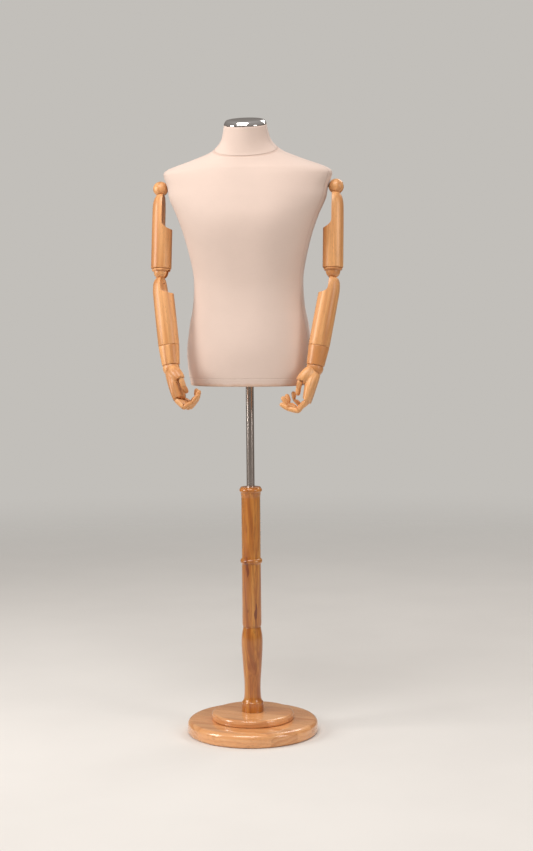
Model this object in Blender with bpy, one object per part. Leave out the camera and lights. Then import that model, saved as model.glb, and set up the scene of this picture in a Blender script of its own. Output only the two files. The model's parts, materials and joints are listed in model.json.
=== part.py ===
"""Tailor's dress form: a cloth-covered half torso with jointed wooden arms on a telescoping pole and a turned stand.

Metres, +Z up. The origin is the middle of the base's underside and the torso faces -Y.
The arms are modelled once, for the form's own left side (+X), and mirrored for its right side.
"""

import math

import bmesh
import bpy
from mathutils import Matrix, Vector

GAP = 0.0003

# Stand
BASE_R = 0.180
BASE_TOP_Z = 0.0372
PLINTH_R = 0.113
PLINTH_TOP_Z = 0.0575
POST_SPLIT_Z = 0.2935
POST_TOP_Z = 0.6809
POLE_R = 0.0108
POLE_WALL = 0.0015
POLE_BOTTOM_Z = 0.3145
POLE_TOP_Z = 1.0345
BORE_R = POLE_R + 0.0005
BORE_BOTTOM_Z = 0.085
KNOB_Z = 0.6680
BOLT_R = 0.005

# Torso: height, half width, half depth, centre's Y, roundness exponent, forward tilt in degrees
TORSO_STATIONS = (
    (0.9615, 0.159, 0.112, 0.005, 2.5, 0),
    (0.9995, 0.166, 0.116, 0.006, 2.5, 0),
    (1.0565, 0.1695, 0.116, 0.006, 2.4, 0),
    (1.1215, 0.1615, 0.109, 0.004, 2.4, 0),
    (1.1705, 0.152, 0.104, 0.002, 2.4, 0),
    (1.2195, 0.148, 0.103, 0.000, 2.4, 0),
    (1.2675, 0.150, 0.108, -0.002, 2.4, 0),
    (1.3485, 0.1675, 0.117, -0.006, 2.5, 0),
    (1.4125, 0.189, 0.119, -0.008, 2.5, 0),
    (1.4605, 0.2105, 0.114, -0.006, 2.5, 0),
    (1.4915, 0.2165, 0.109, -0.004, 2.5, 0),
    (1.5185, 0.2260, 0.103, -0.003, 2.4, 0),
    (1.5329, 0.2275, 0.099, -0.003, 2.3, 1),
    (1.5435, 0.214, 0.095, -0.004, 2.2, 2),
    (1.5541, 0.187, 0.090, -0.005, 2.1, 4),
    (1.5645, 0.156, 0.085, -0.007, 2.0, 6),
    (1.5755, 0.126, 0.079, -0.010, 2.0, 8),
    (1.5860, 0.100, 0.073, -0.014, 2.0, 10),
    (1.6005, 0.080, 0.066, -0.021, 2.0, 12),
    (1.6205, 0.0655, 0.062, -0.027, 2.0, 12),
    (1.6565, 0.0565, 0.058, -0.036, 2.0, 12),
)
TORSO_SIDES = 22
COVER_THICKNESS = 0.0015
COVER_GAP = 0.0006
SHELL_THICKNESS = 0.004
BOARD_Z = (0.9645, 0.9765)
SOCKET_BOTTOM_Z = 0.9620
SOCKET_R = 0.015

# Arms, in the frames of their joints: +X away from the torso, -Z down the limb
SHOULDER = Vector((0.2390, 0.0, 1.4915))
BALL_R = 0.0205
STUD_R = 0.004
PIN_R = 0.0025
TONGUE_THICKNESS = 0.012
SHOULDER_TONGUE_R = 0.009
ELBOW_TONGUE_R = 0.006
ARM_AXIS_X = -0.0067
UPPER_ARM_LENGTH = 0.2200
ARM_R = 0.0275
NOTCH_PLANE_X = -0.003
ELBOW_DROP = 0.0090
ELBOW_R = 0.0195
FOREARM_LENGTH = 0.2030
SPIGOT_R = 0.006
SPIGOT_LENGTH = 0.018
CUFF_LENGTH = 0.0520
CUFF_END_R = 0.0238
WRIST_DROP = 0.0080
WRIST_R = 0.0225

# Hands, in the palm's frame: name, knuckle's Y and Z, radius, lengths of the segments
FINGERS = (
    ("index", -0.0280, -0.092, 0.0076, (0.033, 0.029, 0.024)),
    ("middle", -0.0095, -0.092, 0.0078, (0.035, 0.031, 0.025)),
    ("ring", 0.0088, -0.092, 0.0075, (0.033, 0.029, 0.024)),
    ("little", 0.0262, -0.084, 0.0068, (0.027, 0.023, 0.021)),
)
# The palm's mitred edge: the Y span and the Z of the knuckles that share it
KNUCKLE_ROWS = ((-0.060, 0.0180, -0.092), (0.0176, 0.060, -0.084))
SEGMENTS = ("proximal", "middle", "distal")
SEGMENT_TAPER = 0.93
THUMB_BASE = Vector((-0.0275, -0.0260, -0.0430))
THUMB_R = 0.0076
THUMB_LENGTHS = (0.022, 0.021)
KNUCKLE_SHARE = 0.86
SEAT_SHARE = 1.01
PALM_MITER = math.radians(32)
FINGER_MITER = math.radians(55)

# Rest pose, in degrees: forward swing, twist and inward bend at the elbow, inward bend at the wrist,
# then the bends of each finger's three joints and the thumb's two
POSES = {
    "left": {
        "swing": 9.0,
        "twist": 0.0,
        "elbow": 9.9,
        "wrist": 3.0,
        "index": (24, 66, 20),
        "middle": (34, 74, 28),
        "ring": (40, 78, 30),
        "little": (44, 80, 32),
        "thumb": (20, 14),
    },
    "right": {
        "swing": 10.5,
        "twist": 12.0,
        "elbow": 7.8,
        "wrist": 9.5,
        "index": (30, 74, 18),
        "middle": (36, 80, 26),
        "ring": (41, 82, 30),
        "little": (45, 82, 32),
        "thumb": (20, 12),
    },
}

MIRROR = Matrix.Diagonal((-1, 1, 1, 1))


# ---------------------------------------------------------------- scene and mesh helpers


def clear_scene():
    for piece in list(bpy.data.objects):
        bpy.data.objects.remove(piece, do_unlink=True)


def finish(name, color, roughness, metallic=0.0):
    material = bpy.data.materials.new(name)
    material.use_nodes = True
    shader = material.node_tree.nodes["Principled BSDF"]
    shader.inputs["Base Color"].default_value = (*color, 1.0)
    shader.inputs["Roughness"].default_value = roughness
    shader.inputs["Metallic"].default_value = metallic
    return material


def new_object(name, points, faces, material=None):
    mesh = bpy.data.meshes.new(name)
    mesh.from_pydata([tuple(p) for p in points], [], faces)
    mesh.validate()
    piece = bpy.data.objects.new(name, mesh)
    if material:
        mesh.materials.append(material)
    bpy.context.collection.objects.link(piece)
    return piece


def empty(name, parent, matrix):
    """A joint's frame, placed in its parent's frame."""
    frame = bpy.data.objects.new(name, None)
    frame.empty_display_size = 0.02
    bpy.context.collection.objects.link(frame)
    frame.parent = parent
    frame.matrix_local = matrix
    return frame


def stack(rings, closed_loop=False):
    """Faces over rings of equal size. A ring of one point is a pole; a closed loop joins the last ring to the first."""
    points = [p for ring in rings for p in ring]
    starts = [sum(len(r) for r in rings[:i]) for i in range(len(rings))]
    faces = []
    pairs = list(zip(range(len(rings) - 1), range(1, len(rings))))
    if closed_loop:
        pairs.append((len(rings) - 1, 0))
    for lower, upper in pairs:
        count = max(len(rings[lower]), len(rings[upper]))
        for i in range(count):
            j = (i + 1) % count
            corners = []
            for ring, order in ((lower, (i, j)), (upper, (j, i))):
                if len(rings[ring]) == 1:
                    corners.append(starts[ring])
                else:
                    corners += [starts[ring] + k for k in order]
            faces.append(corners)
    return points, faces


def face_outwards(piece):
    """Turns every face out, and shades round surfaces smooth."""
    shape = bmesh.new()
    shape.from_mesh(piece.data)
    bmesh.ops.recalc_face_normals(shape, faces=shape.faces)
    if shape.calc_volume(signed=True) < 0:
        bmesh.ops.reverse_faces(shape, faces=shape.faces)
    shape.to_mesh(piece.data)
    shape.free()
    piece.data.shade_smooth()
    piece.data.set_sharp_from_angle(angle=math.radians(35))
    return piece


def circle(radius, z, sides, centre=(0.0, 0.0)):
    if radius == 0:
        return [(centre[0], centre[1], z)]
    turn = 2 * math.pi / sides
    return [
        (centre[0] + radius * math.cos(turn * i), centre[1] + radius * math.sin(turn * i), z)
        for i in range(sides)
    ]


def turned(name, profile, sides, material=None, centre=(0.0, 0.0)):
    """A turned piece from (radius, z) points. A profile that starts off the axis is a closed loop round a bore."""
    rings = [circle(radius, z, sides, centre) for radius, z in profile]
    points, faces = stack(rings, closed_loop=profile[0][0] > 0)
    return face_outwards(new_object(name, points, faces, material))


def arc(centre, radius, start, end, steps):
    """Points (r, z) on an arc, with its angles in degrees from the outward direction."""
    angles = [math.radians(start + (end - start) * i / steps) for i in range(steps + 1)]
    return [(centre[0] + radius * math.cos(a), centre[1] + radius * math.sin(a)) for a in angles]


def rod(name, start, end, radius, sides=12, material=None):
    """A plain round bar between two points."""
    start = Vector(start)
    along = Vector(end) - start
    piece = turned(name, [(0, 0), (radius, 0), (radius, along.length), (0, along.length)], sides, material)
    piece.data.transform(Matrix.Translation(start) @ along.to_track_quat("Z", "Y").to_matrix().to_4x4())
    return piece


def box(name, low, high):
    corners = [(x, y, z) for x in (low[0], high[0]) for y in (low[1], high[1]) for z in (low[2], high[2])]
    faces = [(0, 1, 3, 2), (4, 6, 7, 5), (0, 4, 5, 1), (2, 3, 7, 6), (0, 2, 6, 4), (1, 5, 7, 3)]
    return face_outwards(new_object(name, corners, faces))


def prism(name, outline, low_y, high_y):
    """An outline of (x, z) points, pushed along Y."""
    rings = [[(x, y, z) for x, z in outline] for y in (low_y, high_y)]
    points, faces = stack(rings)
    count = len(outline)
    faces += [list(range(count)), list(range(count, 2 * count))]
    return face_outwards(new_object(name, points, faces))


def ball(name, centre, radius, sides=16, rings=8):
    steps = [math.pi * i / rings for i in range(rings + 1)]
    profile = [(radius * math.sin(a) if 0 < i < rings else 0, radius * math.cos(a)) for i, a in enumerate(steps)]
    piece = turned(name, profile, sides)
    piece.data.transform(Matrix.Translation(centre))
    return piece


def combine(piece, operation, *others):
    """Joins or cuts the piece with each other piece, which is used up."""
    for other in others:
        step = piece.modifiers.new(operation.lower(), "BOOLEAN")
        step.operation = operation
        step.solver = "EXACT"
        step.object = other
    shaped = piece.evaluated_get(bpy.context.evaluated_depsgraph_get())
    mesh = bpy.data.meshes.new_from_object(shaped)
    piece.modifiers.clear()
    piece.data = mesh
    for other in others:
        bpy.data.objects.remove(other, do_unlink=True)
    return piece


def cut(piece, *cutters):
    return combine(piece, "DIFFERENCE", *cutters)


def join(piece, *others):
    return combine(piece, "UNION", *others)


# ---------------------------------------------------------------- torso


def superellipse(station, sides):
    z, half_width, half_depth, middle_y, exponent, tilt = station
    slope = math.tan(math.radians(tilt))
    ring = []
    for i in range(sides):
        angle = 2 * math.pi * i / sides
        c, s = math.cos(angle), math.sin(angle)
        x = half_width * math.copysign(abs(c) ** (2 / exponent), c)
        y = half_depth * math.copysign(abs(s) ** (2 / exponent), s)
        ring.append(Vector((x, middle_y + y, z + y * slope)))
    return ring


def inset_rings(rings, distance):
    """The same rings, moved inwards along the surface's normals."""
    moved = []
    for level, ring in enumerate(rings):
        below = rings[max(level - 1, 0)]
        above = rings[min(level + 1, len(rings) - 1)]
        count = len(ring)
        row = []
        for i, point in enumerate(ring):
            around = ring[(i + 1) % count] - ring[i - 1]
            up = above[i] - below[i]
            row.append(point - around.cross(up).normalized() * distance)
        moved.append(row)
    return moved


def split_quads(upper, lower, count):
    """Triangles between two rings, named by their first points, all cut along the same diagonal."""
    triangles = []
    for i in range(count):
        j = (i + 1) % count
        triangles.append((lower + i, lower + j, upper + j))
        triangles.append((lower + i, upper + j, upper + i))
    return triangles


def skin(name, outer_depth, inner_depth, material):
    """One layer of the torso, open at the neck and at the bottom. Each layer's facets match the next layer's."""
    surface = [superellipse(station, TORSO_SIDES) for station in TORSO_STATIONS]
    rings = inset_rings(surface, outer_depth) + inset_rings(surface, inner_depth)
    levels = len(TORSO_STATIONS)
    top, bottom = levels - 1, 0
    pairs = [(i + 1, i) for i in range(levels - 1)]
    pairs += [(upper + levels, lower + levels) for upper, lower in pairs]
    pairs += [(top + levels, top), (bottom, bottom + levels)]
    faces = [f for upper, lower in pairs for f in split_quads(upper * TORSO_SIDES, lower * TORSO_SIDES, TORSO_SIDES)]
    layer = face_outwards(new_object(name, [p for ring in rings for p in ring], faces, material))
    for side in (-1, 1):
        start = (side * (SHOULDER.x - 0.045), 0, SHOULDER.z)
        cut(layer, rod("stud_hole", start, (side * (SHOULDER.x + 0.01), 0, SHOULDER.z), STUD_R + 0.001))
    return layer


def station_at(z):
    """The torso's section at a height, between two stations."""
    for low, high in zip(TORSO_STATIONS, TORSO_STATIONS[1:]):
        if low[0] <= z <= high[0]:
            share = (z - low[0]) / (high[0] - low[0])
            return tuple(a + (b - a) * share for a, b in zip(low, high))
    raise ValueError("height outside the torso")


def torso(fabric, composite, chrome, wood, steel):
    cover_in = COVER_THICKNESS
    shell_out = cover_in + COVER_GAP
    shell_in = shell_out + SHELL_THICKNESS
    skin("fabric_cover", 0.0, cover_in, fabric)
    skin("torso_shell", shell_out, shell_in, composite)

    edge = [superellipse(station_at(z), TORSO_SIDES) for z in BOARD_Z]
    rim = inset_rings(edge, shell_in + 2 * GAP)
    rings = [[Vector((p.x, p.y, z)) for p in ring] for ring, z in zip(rim, BOARD_Z)]
    middles = [[Vector((0, 0, z))] for z in BOARD_Z]
    points, faces = stack([middles[0], *rings, middles[1]])
    board = face_outwards(new_object("bottom_board", points, faces, wood))
    low, high = BOARD_Z
    cut(board, rod("socket_hole", (0, 0, low - 0.01), (0, 0, high + 0.01), SOCKET_R + GAP, 20))

    bore = POLE_R + 2 * GAP
    ceiling = POLE_TOP_Z + GAP
    flange = high + GAP
    turned(
        "pole_socket",
        [
            (0, ceiling + 0.004),
            (SOCKET_R, ceiling + 0.004),
            (SOCKET_R, flange + 0.003),
            (0.040, flange + 0.003),
            (0.040, flange),
            (SOCKET_R, flange),
            (SOCKET_R, SOCKET_BOTTOM_Z),
            (bore, SOCKET_BOTTOM_Z),
            (bore, ceiling),
            (0, ceiling),
        ],
        20,
        steel,
    )

    neck_z, _, _, neck_y, _, neck_tilt = TORSO_STATIONS[-1]
    cap = turned(
        "neck_cap",
        [
            (0, 0.0145),
            (0.036, 0.0138),
            (0.0485, 0.0120),
            (0.0535, 0.0085),
            (0.0568, 0.0022),
            (0.0568, 0.0006),
            (0.0455, 0.0006),
            (0.0440, -0.0120),
            (0, -0.0120),
        ],
        24,
        chrome,
    )
    cap.location = (0, neck_y, neck_z)
    cap.rotation_euler.x = math.radians(neck_tilt)


# ---------------------------------------------------------------- stand


def stand(oak, beech_red, steel, plastic):
    """The two base discs, the post in two turned lengths, the pole, the lock screw and the base bolt."""
    hole = BOLT_R + GAP
    recess_r = 0.0095
    recess_z = 0.0085
    turned(
        "base_lower_disc",
        [
            (hole, BASE_TOP_Z),
            *arc((BASE_R - 0.014, BASE_TOP_Z - 0.014), 0.014, 90, 0, 3),
            *arc((BASE_R - 0.008, 0.008), 0.008, 0, -90, 2),
            (recess_r, 0),
            (recess_r, recess_z),
            (hole, recess_z),
        ],
        32,
        oak,
    )
    plinth_low = BASE_TOP_Z + GAP
    turned(
        "base_upper_disc",
        [
            (hole, PLINTH_TOP_Z),
            *arc((PLINTH_R - 0.008, PLINTH_TOP_Z - 0.008), 0.008, 90, 0, 3),
            *arc((PLINTH_R - 0.004, plinth_low + 0.004), 0.004, 0, -90, 2),
            (hole, plinth_low),
        ],
        28,
        oak,
    )
    foot = PLINTH_TOP_Z + GAP
    turned(
        "post_lower",
        [
            (0, BORE_BOTTOM_Z),
            (BORE_R, BORE_BOTTOM_Z),
            (BORE_R, POST_SPLIT_Z),
            (0.0243, POST_SPLIT_Z),
            (0.0262, 0.2818),
            (0.0283, 0.2690),
            (0.0293, 0.2519),
            (0.0288, 0.2327),
            (0.0272, 0.2072),
            (0.0248, 0.1699),
            (0.0228, 0.1433),
            (0.0223, 0.1198),
            (0.0232, 0.0996),
            (0.0262, 0.0868),
            (0.0290, 0.0772),
            (0.0298, 0.0687),
            (0.0290, 0.0628),
            (0.0303, foot),
            (hole, foot),
            (hole, 0.080),
            (0, 0.080),
        ],
        16,
        beech_red,
    )
    upper_low = POST_SPLIT_Z + GAP
    upper = turned(
        "post_upper",
        [
            (BORE_R, POST_TOP_Z),
            (0.0275, POST_TOP_Z),
            *arc((0.0265, POST_TOP_Z - 0.0105), 0.0042, 60, -60, 3),
            (0.0268, 0.6565),
            (0.0257, 0.6505),
            (0.0257, 0.4905),
            *arc((0.0225, 0.4765), 0.0075, 55, -55, 4),
            (0.0260, 0.4625),
            (0.0264, 0.3045),
            (0.0258, 0.2980),
            (0.0243, upper_low),
            (BORE_R, upper_low),
        ],
        16,
        beech_red,
    )
    cut(upper, rod("lock_hole", (0, 0.005, KNOB_Z), (0, 0.05, KNOB_Z), STUD_R + GAP))

    turned(
        "pole",
        [
            (POLE_R - POLE_WALL, POLE_TOP_Z),
            (POLE_R, POLE_TOP_Z),
            (POLE_R, POLE_BOTTOM_Z),
            (POLE_R - POLE_WALL, POLE_BOTTOM_Z),
        ],
        24,
        steel,
    )
    turned(
        "base_bolt",
        [(0, 0.0775), (BOLT_R, 0.0775), (BOLT_R, 0.0081), (0.0085, 0.0081), (0.0085, 0.0015), (0, 0.0015)],
        18,
        steel,
    )
    knob = turned(
        "height_knob",
        [(0, 0.0348), (0.010, 0.0348), (0.0128, 0.0325), (0.0128, 0.0235), (0.0100, 0.0205), (STUD_R, 0.0205),
         (STUD_R, 0.0), (0, 0.0)],
        18,
        plastic,
    )
    knob.location = (0, POLE_R + GAP, KNOB_Z)
    knob.rotation_euler.x = math.radians(-90)


# ---------------------------------------------------------------- arms


def notch(axis_x, start_z, end_z, clear_z):
    """The half-lap that leaves the limb's outer half: a flat that runs down and curves out to the inner side."""
    reach = 0.034
    run = start_z - end_z
    plane = axis_x + NOTCH_PLANE_X
    curve = [
        (plane - (reach - 0.004) * (1 - math.cos(a)), start_z - run * math.sin(a))
        for a in (math.radians(15 * i) for i in range(6))
    ]
    outline = [(plane, clear_z), *curve, (plane - reach, end_z), (plane - reach, clear_z)]
    return prism("notch", outline, -0.04, 0.04)


def tongue(radius, length):
    """The flat tenon on a limb's upper end, round about its pin."""
    half = TONGUE_THICKNESS / 2
    top = arc((0, 0), radius, 0, 180, 8)
    return prism("tongue", [*top, (-radius, -length), (radius, -length)], -half, half)


def pin_hole():
    return rod("pin_hole", (0, -0.04, 0), (0, 0.04, 0), PIN_R + GAP)


def slot(low, high):
    half = TONGUE_THICKNESS / 2 + GAP
    return box("slot", (low[0], -half, low[1]), (high[0], half, high[1]))


def limb(name, profile, axis_x, notch_span, tongue_r, joint_r, wood):
    """A turned wooden limb with its half-lap, its tenon and the bore for the next spigot."""
    piece = turned(name, profile, 18, wood, centre=(axis_x, 0))
    top = profile[0][1] + 0.01
    bottom = profile[-1][1]
    cut(piece, notch(axis_x, *notch_span, top), ball("seat", (0, 0, 0), joint_r + 3 * GAP, 18, 10))
    join(piece, tongue(tongue_r, -profile[0][1] + 0.014))
    bore_top = bottom + SPIGOT_LENGTH + 0.002
    cut(piece, pin_hole(), rod("bore", (axis_x, 0, bottom - 0.01), (axis_x, 0, bore_top), SPIGOT_R + GAP, 16))
    return face_outwards(piece)


def shoulder_pieces(wood, steel):
    sphere = ball("shoulder_ball", (0, 0, 0), BALL_R)
    sphere.data.materials.append(wood)
    room = SHOULDER_TONGUE_R + 2 * GAP
    stud_bore = rod("stud_bore", (-0.03, 0, 0), (-0.0120, 0, 0), STUD_R + GAP)
    cut(sphere, slot((-room, -0.03), (0.03, room)), pin_hole(), stud_bore)
    face_outwards(sphere)
    pin = rod("shoulder_pin", (0, -0.0185, 0), (0, 0.0185, 0), PIN_R, material=steel)
    plate_x = -0.0405
    mount = turned(
        "arm_mount",
        [(0, 0.0282), (STUD_R, 0.0282), (STUD_R, 0.0035), (0.016, 0.0035), (0.016, 0), (0, 0)],
        16,
        steel,
    )
    mount.data.transform(Matrix.Translation((plate_x, 0, 0)) @ Matrix.Rotation(math.radians(90), 4, "Y"))
    return mount, sphere, pin


def upper_arm(wood):
    end = -UPPER_ARM_LENGTH
    profile = [
        (0, -0.0170),
        (0.0165, -0.0170),
        (0.0205, -0.0235),
        (0.0240, -0.0320),
        (0.0261, -0.0430),
        (0.0270, -0.0580),
        (ARM_R, -0.1000),
        (ARM_R, end + 0.0030),
        (ARM_R - 0.0010, end),
        (0, end),
    ]
    return limb("upper_arm", profile, ARM_AXIS_X, (-0.092, -0.1135), SHOULDER_TONGUE_R, BALL_R, wood)


def forearm(wood):
    end = -FOREARM_LENGTH
    profile = [
        (0, -0.0165),
        (0.0170, -0.0165),
        (0.0215, -0.0230),
        (0.0248, -0.0320),
        (0.0268, -0.0450),
        (0.0277, -0.0600),
        (0.0282, -0.1300),
        (0.0282, end + 0.0025),
        (0.0275, end),
        (0, end),
    ]
    return limb("forearm", profile, 0.0, (-0.047, -0.063), ELBOW_TONGUE_R, ELBOW_R, wood)


def elbow_pieces(wood, steel):
    top = ELBOW_DROP - 0.0005
    piece = turned(
        "elbow_ball",
        [
            (0, top + SPIGOT_LENGTH),
            (SPIGOT_R, top + SPIGOT_LENGTH),
            (SPIGOT_R, top),
            (0.0242, top),
            (0.0250, top - 0.0015),
            (0.0250, top - 0.0040),
            (0.0236, top - 0.0055),
            *arc((0, 0), ELBOW_R, 6, -80, 5),
            (0, -ELBOW_R),
        ],
        18,
        wood,
    )
    room = ELBOW_TONGUE_R + 2 * GAP
    cut(piece, slot((-0.03, -0.03), (room, room)), pin_hole())
    face_outwards(piece)
    return piece, rod("elbow_pin", (0, -0.0180, 0), (0, 0.0180, 0), PIN_R, material=steel)


def cuff(wood):
    end = -CUFF_LENGTH
    piece = turned(
        "wrist_cuff",
        [
            (0, SPIGOT_LENGTH),
            (SPIGOT_R, SPIGOT_LENGTH),
            (SPIGOT_R, 0),
            (0.0272, 0),
            (0.0279, -0.0015),
            (CUFF_END_R, end + 0.0010),
            (CUFF_END_R - 0.0008, end),
            (0, end),
        ],
        18,
        wood,
    )
    return cut(piece, rod("bore", (0, 0, end - 0.01), (0, 0, end + SPIGOT_LENGTH + 0.002), SPIGOT_R + GAP, 16))


def wrist_disc(wood):
    top = WRIST_DROP - 0.0005
    angle = math.degrees(math.asin(top / WRIST_R))
    return turned(
        "wrist_disc",
        [
            (0, top + SPIGOT_LENGTH),
            (SPIGOT_R, top + SPIGOT_LENGTH),
            (SPIGOT_R, top),
            *arc((0, 0), WRIST_R, angle, -78, 5),
            (0, -WRIST_R),
        ],
        16,
        wood,
    )


# ---------------------------------------------------------------- hands


def palm(wood):
    """The hand's body: a flattened taper with the thumb's mound, cut for the wrist and for each knuckle."""
    sections = (
        (-0.0055, 0.0188, 0.0228),
        (-0.0180, 0.0190, 0.0270),
        (-0.0350, 0.0178, 0.0335),
        (-0.0550, 0.0158, 0.0385),
        (-0.0750, 0.0138, 0.0400),
        (-0.0900, 0.0118, 0.0390),
        (-0.0970, 0.0100, 0.0370),
    )
    rings = []
    for level, (z, half_thickness, half_width) in enumerate(sections):
        rise = 0.45 if level == 0 else 0.0
        ring = superellipse((z, half_thickness, half_width, 0, 2.3, 0), 16)
        rings.append([Vector((p.x, p.y, p.z - rise * p.x)) for p in ring])
    ends = [[Vector((0, 0, sections[0][0]))], [Vector((0, 0, sections[-1][0]))]]
    points, faces = stack([ends[0], *rings, ends[1]])
    piece = face_outwards(new_object("palm", points, faces, wood))

    start = Vector((-0.0080, -0.0130, -0.0100))
    mound = turned(
        "mound",
        [(0, -0.013), (0.0100, -0.0105), (0.0148, -0.003), (0.0170, 0.012), (0.0160, 0.028), (0.0122, 0.043),
         (0, 0.046)],
        12,
    )
    direction = THUMB_BASE - start
    mound.data.transform(Matrix.Translation(start) @ direction.to_track_quat("Z", "Y").to_matrix().to_4x4())
    join(piece, mound)

    below_thumb = box("thumb_end", (-0.07, -0.07, -0.09), (-0.0175, 0.02, THUMB_BASE.z + 0.0012))
    thumb_seat = ball("thumb_seat", THUMB_BASE, THUMB_R * SEAT_SHARE, 10, 6)
    cut(piece, below_thumb, thumb_seat, ball("wrist_seat", (0, 0, 0), WRIST_R + 4 * GAP, 18, 10))
    for _, knuckle_y, knuckle_z, radius, _ in FINGERS:
        cut(piece, ball("seat", (0, knuckle_y, knuckle_z), radius * SEAT_SHARE, 10, 6))
    for low_y, high_y, knuckle_z in KNUCKLE_ROWS:
        wedge = box("miter", (-0.045, low_y, -0.03), (0.0004, high_y, 0.0))
        wedge.data.transform(Matrix.Translation((0, 0, knuckle_z)) @ Matrix.Rotation(PALM_MITER, 4, "Y"))
        cut(piece, wedge, box("row_end", (-0.04, low_y, -0.12), (0.04, high_y, knuckle_z - 0.0022)))
    return face_outwards(piece)


def phalanx(name, length, radius, next_radius, wood, sides=8):
    """One finger segment, from its own joint at the origin down -Z to the next joint, bending towards -X.

    Its upper end is round and sits in the seat above. Its lower end is the next seat, or a fingertip
    where next_radius is None. The bending side is mitred at both ends, so that the joint can fold.
    """
    last = next_radius is None
    end_radius = radius * SEGMENT_TAPER if last else next_radius
    knuckle = radius * KNUCKLE_SHARE
    rows = [(-knuckle * math.cos(a), knuckle * math.sin(a)) for a in (0.0, 0.65, 1.25)]
    rows += [(length * 0.30, radius)]
    if last:
        crown = length - end_radius
        rows += [(crown + end_radius * math.sin(a), end_radius * math.cos(a)) for a in (0.1, 0.75, 1.15)]
        rows += [(length, 0.0)]
    else:
        seat = end_radius * SEAT_SHARE
        rims = (end_radius * 0.985, end_radius * 0.75, end_radius * 0.40, 0.0)
        rows += [(length - math.sqrt(seat**2 - rim**2), rim) for rim in rims]
    rings = []
    for along, r in rows:
        ring = []
        for x, y, _ in circle(r, 0, sides):
            bend_side = max(-x, 0.0)
            depth = max(along, -knuckle + 2 * bend_side)
            if not last:
                depth = min(depth, length - bend_side * math.tan(FINGER_MITER) - GAP)
            ring.append(Vector((x, y, -depth)))
        rings.append(ring)
    points, faces = stack(rings)
    return face_outwards(new_object(name, points, faces, wood))


# ---------------------------------------------------------------- assembly of an arm


def arm(side, wood, steel):
    """One arm, from the stud in the torso to the fingertips, each piece in the frame of its own joint."""
    pose = POSES[side]
    mirrored = side == "right"

    def frame(name, parent, location, degrees=0.0, axis="X"):
        matrix = Matrix.Translation(location) @ Matrix.Rotation(math.radians(degrees), 4, axis)
        if mirrored:
            matrix = MIRROR @ matrix @ MIRROR
        return empty(f"{side}_{name}_joint", parent, matrix)

    def place(piece, parent, name=None):
        if mirrored:
            piece.data.transform(MIRROR)
            piece.data.flip_normals()
        piece.name = f"{side}_{name or piece.name}"
        piece.data.name = piece.name
        piece.parent = parent
        return piece

    mount, sphere, pin = shoulder_pieces(wood, steel)
    place(mount, frame("mount", None, SHOULDER))
    shoulder = frame("shoulder", None, SHOULDER, -pose["swing"])
    place(sphere, shoulder)
    place(pin, shoulder)
    place(upper_arm(wood), shoulder)

    elbow_at = (ARM_AXIS_X, 0, -UPPER_ARM_LENGTH - ELBOW_DROP)
    elbow = frame("elbow", shoulder, elbow_at, pose["twist"], "Z")
    elbow_ball, elbow_pin = elbow_pieces(wood, steel)
    place(elbow_ball, elbow)
    place(elbow_pin, elbow)
    fore = frame("forearm", elbow, (0, 0, 0), pose["elbow"], "Y")
    place(forearm(wood), fore)
    wrist_cuff = frame("cuff", fore, (0, 0, -FOREARM_LENGTH - 0.0005))
    place(cuff(wood), wrist_cuff)
    wrist = frame("wrist", wrist_cuff, (0, 0, -CUFF_LENGTH - WRIST_DROP))
    place(wrist_disc(wood), wrist)
    hand = frame("hand", wrist, (0, 0, 0), pose["wrist"], "Y")
    place(palm(wood), hand)

    for finger, knuckle_y, knuckle_z, radius, lengths in FINGERS:
        parent = hand
        at = (0, knuckle_y, knuckle_z)
        for index, length in enumerate(lengths):
            label = f"{finger}_{SEGMENTS[index]}"
            joint = frame(label, parent, at, pose[finger][index], "Y")
            thick = radius * SEGMENT_TAPER**index
            following = None if index == len(lengths) - 1 else thick * SEGMENT_TAPER
            place(phalanx("phalanx", length, thick, following, wood), joint, label)
            parent = joint
            at = (0, 0, -length)

    parent = hand
    at = THUMB_BASE
    for index, length in enumerate(THUMB_LENGTHS):
        label = f"thumb_{SEGMENTS[index * 2]}"
        joint = frame(label, parent, at, pose["thumb"][index], "X")
        thick = THUMB_R * SEGMENT_TAPER**index
        following = None if index else thick * SEGMENT_TAPER
        piece = phalanx("phalanx", length, thick, following, wood)
        piece.data.transform(Matrix.Rotation(math.radians(-90), 4, "Z"))
        place(piece, joint, label)
        parent = joint
        at = (0, 0, -length)


def main():
    clear_scene()
    fabric = finish("cover_cloth", (0.86, 0.77, 0.69), 0.85)
    composite = finish("shell_composite", (0.62, 0.58, 0.52), 0.7)
    chrome = finish("polished_chrome", (0.85, 0.85, 0.87), 0.08, 1.0)
    steel = finish("brushed_steel", (0.60, 0.56, 0.53), 0.3, 1.0)
    plastic = finish("black_plastic", (0.02, 0.02, 0.02), 0.4)
    arm_wood = finish("arm_beech", (0.72, 0.42, 0.20), 0.35)
    base_wood = finish("base_ash", (0.70, 0.36, 0.14), 0.2)
    post_wood = finish("post_cherry", (0.42, 0.15, 0.04), 0.2)
    board_wood = finish("board_plywood", (0.60, 0.42, 0.25), 0.7)

    torso(fabric, composite, chrome, board_wood, steel)
    stand(base_wood, post_wood, steel, plastic)
    for side in ("left", "right"):
        arm(side, arm_wood, steel)


main()
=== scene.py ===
"""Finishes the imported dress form.

It has a cloth torso, a polished cap, jointed wooden arms, a turned post and base, and a stage.

Metres, +Z up. The form faces -Y and +X is its own left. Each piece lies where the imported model
has its plain solid.
"""

import json
import math

import bmesh
import bpy
from mathutils import Matrix, Vector


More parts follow.
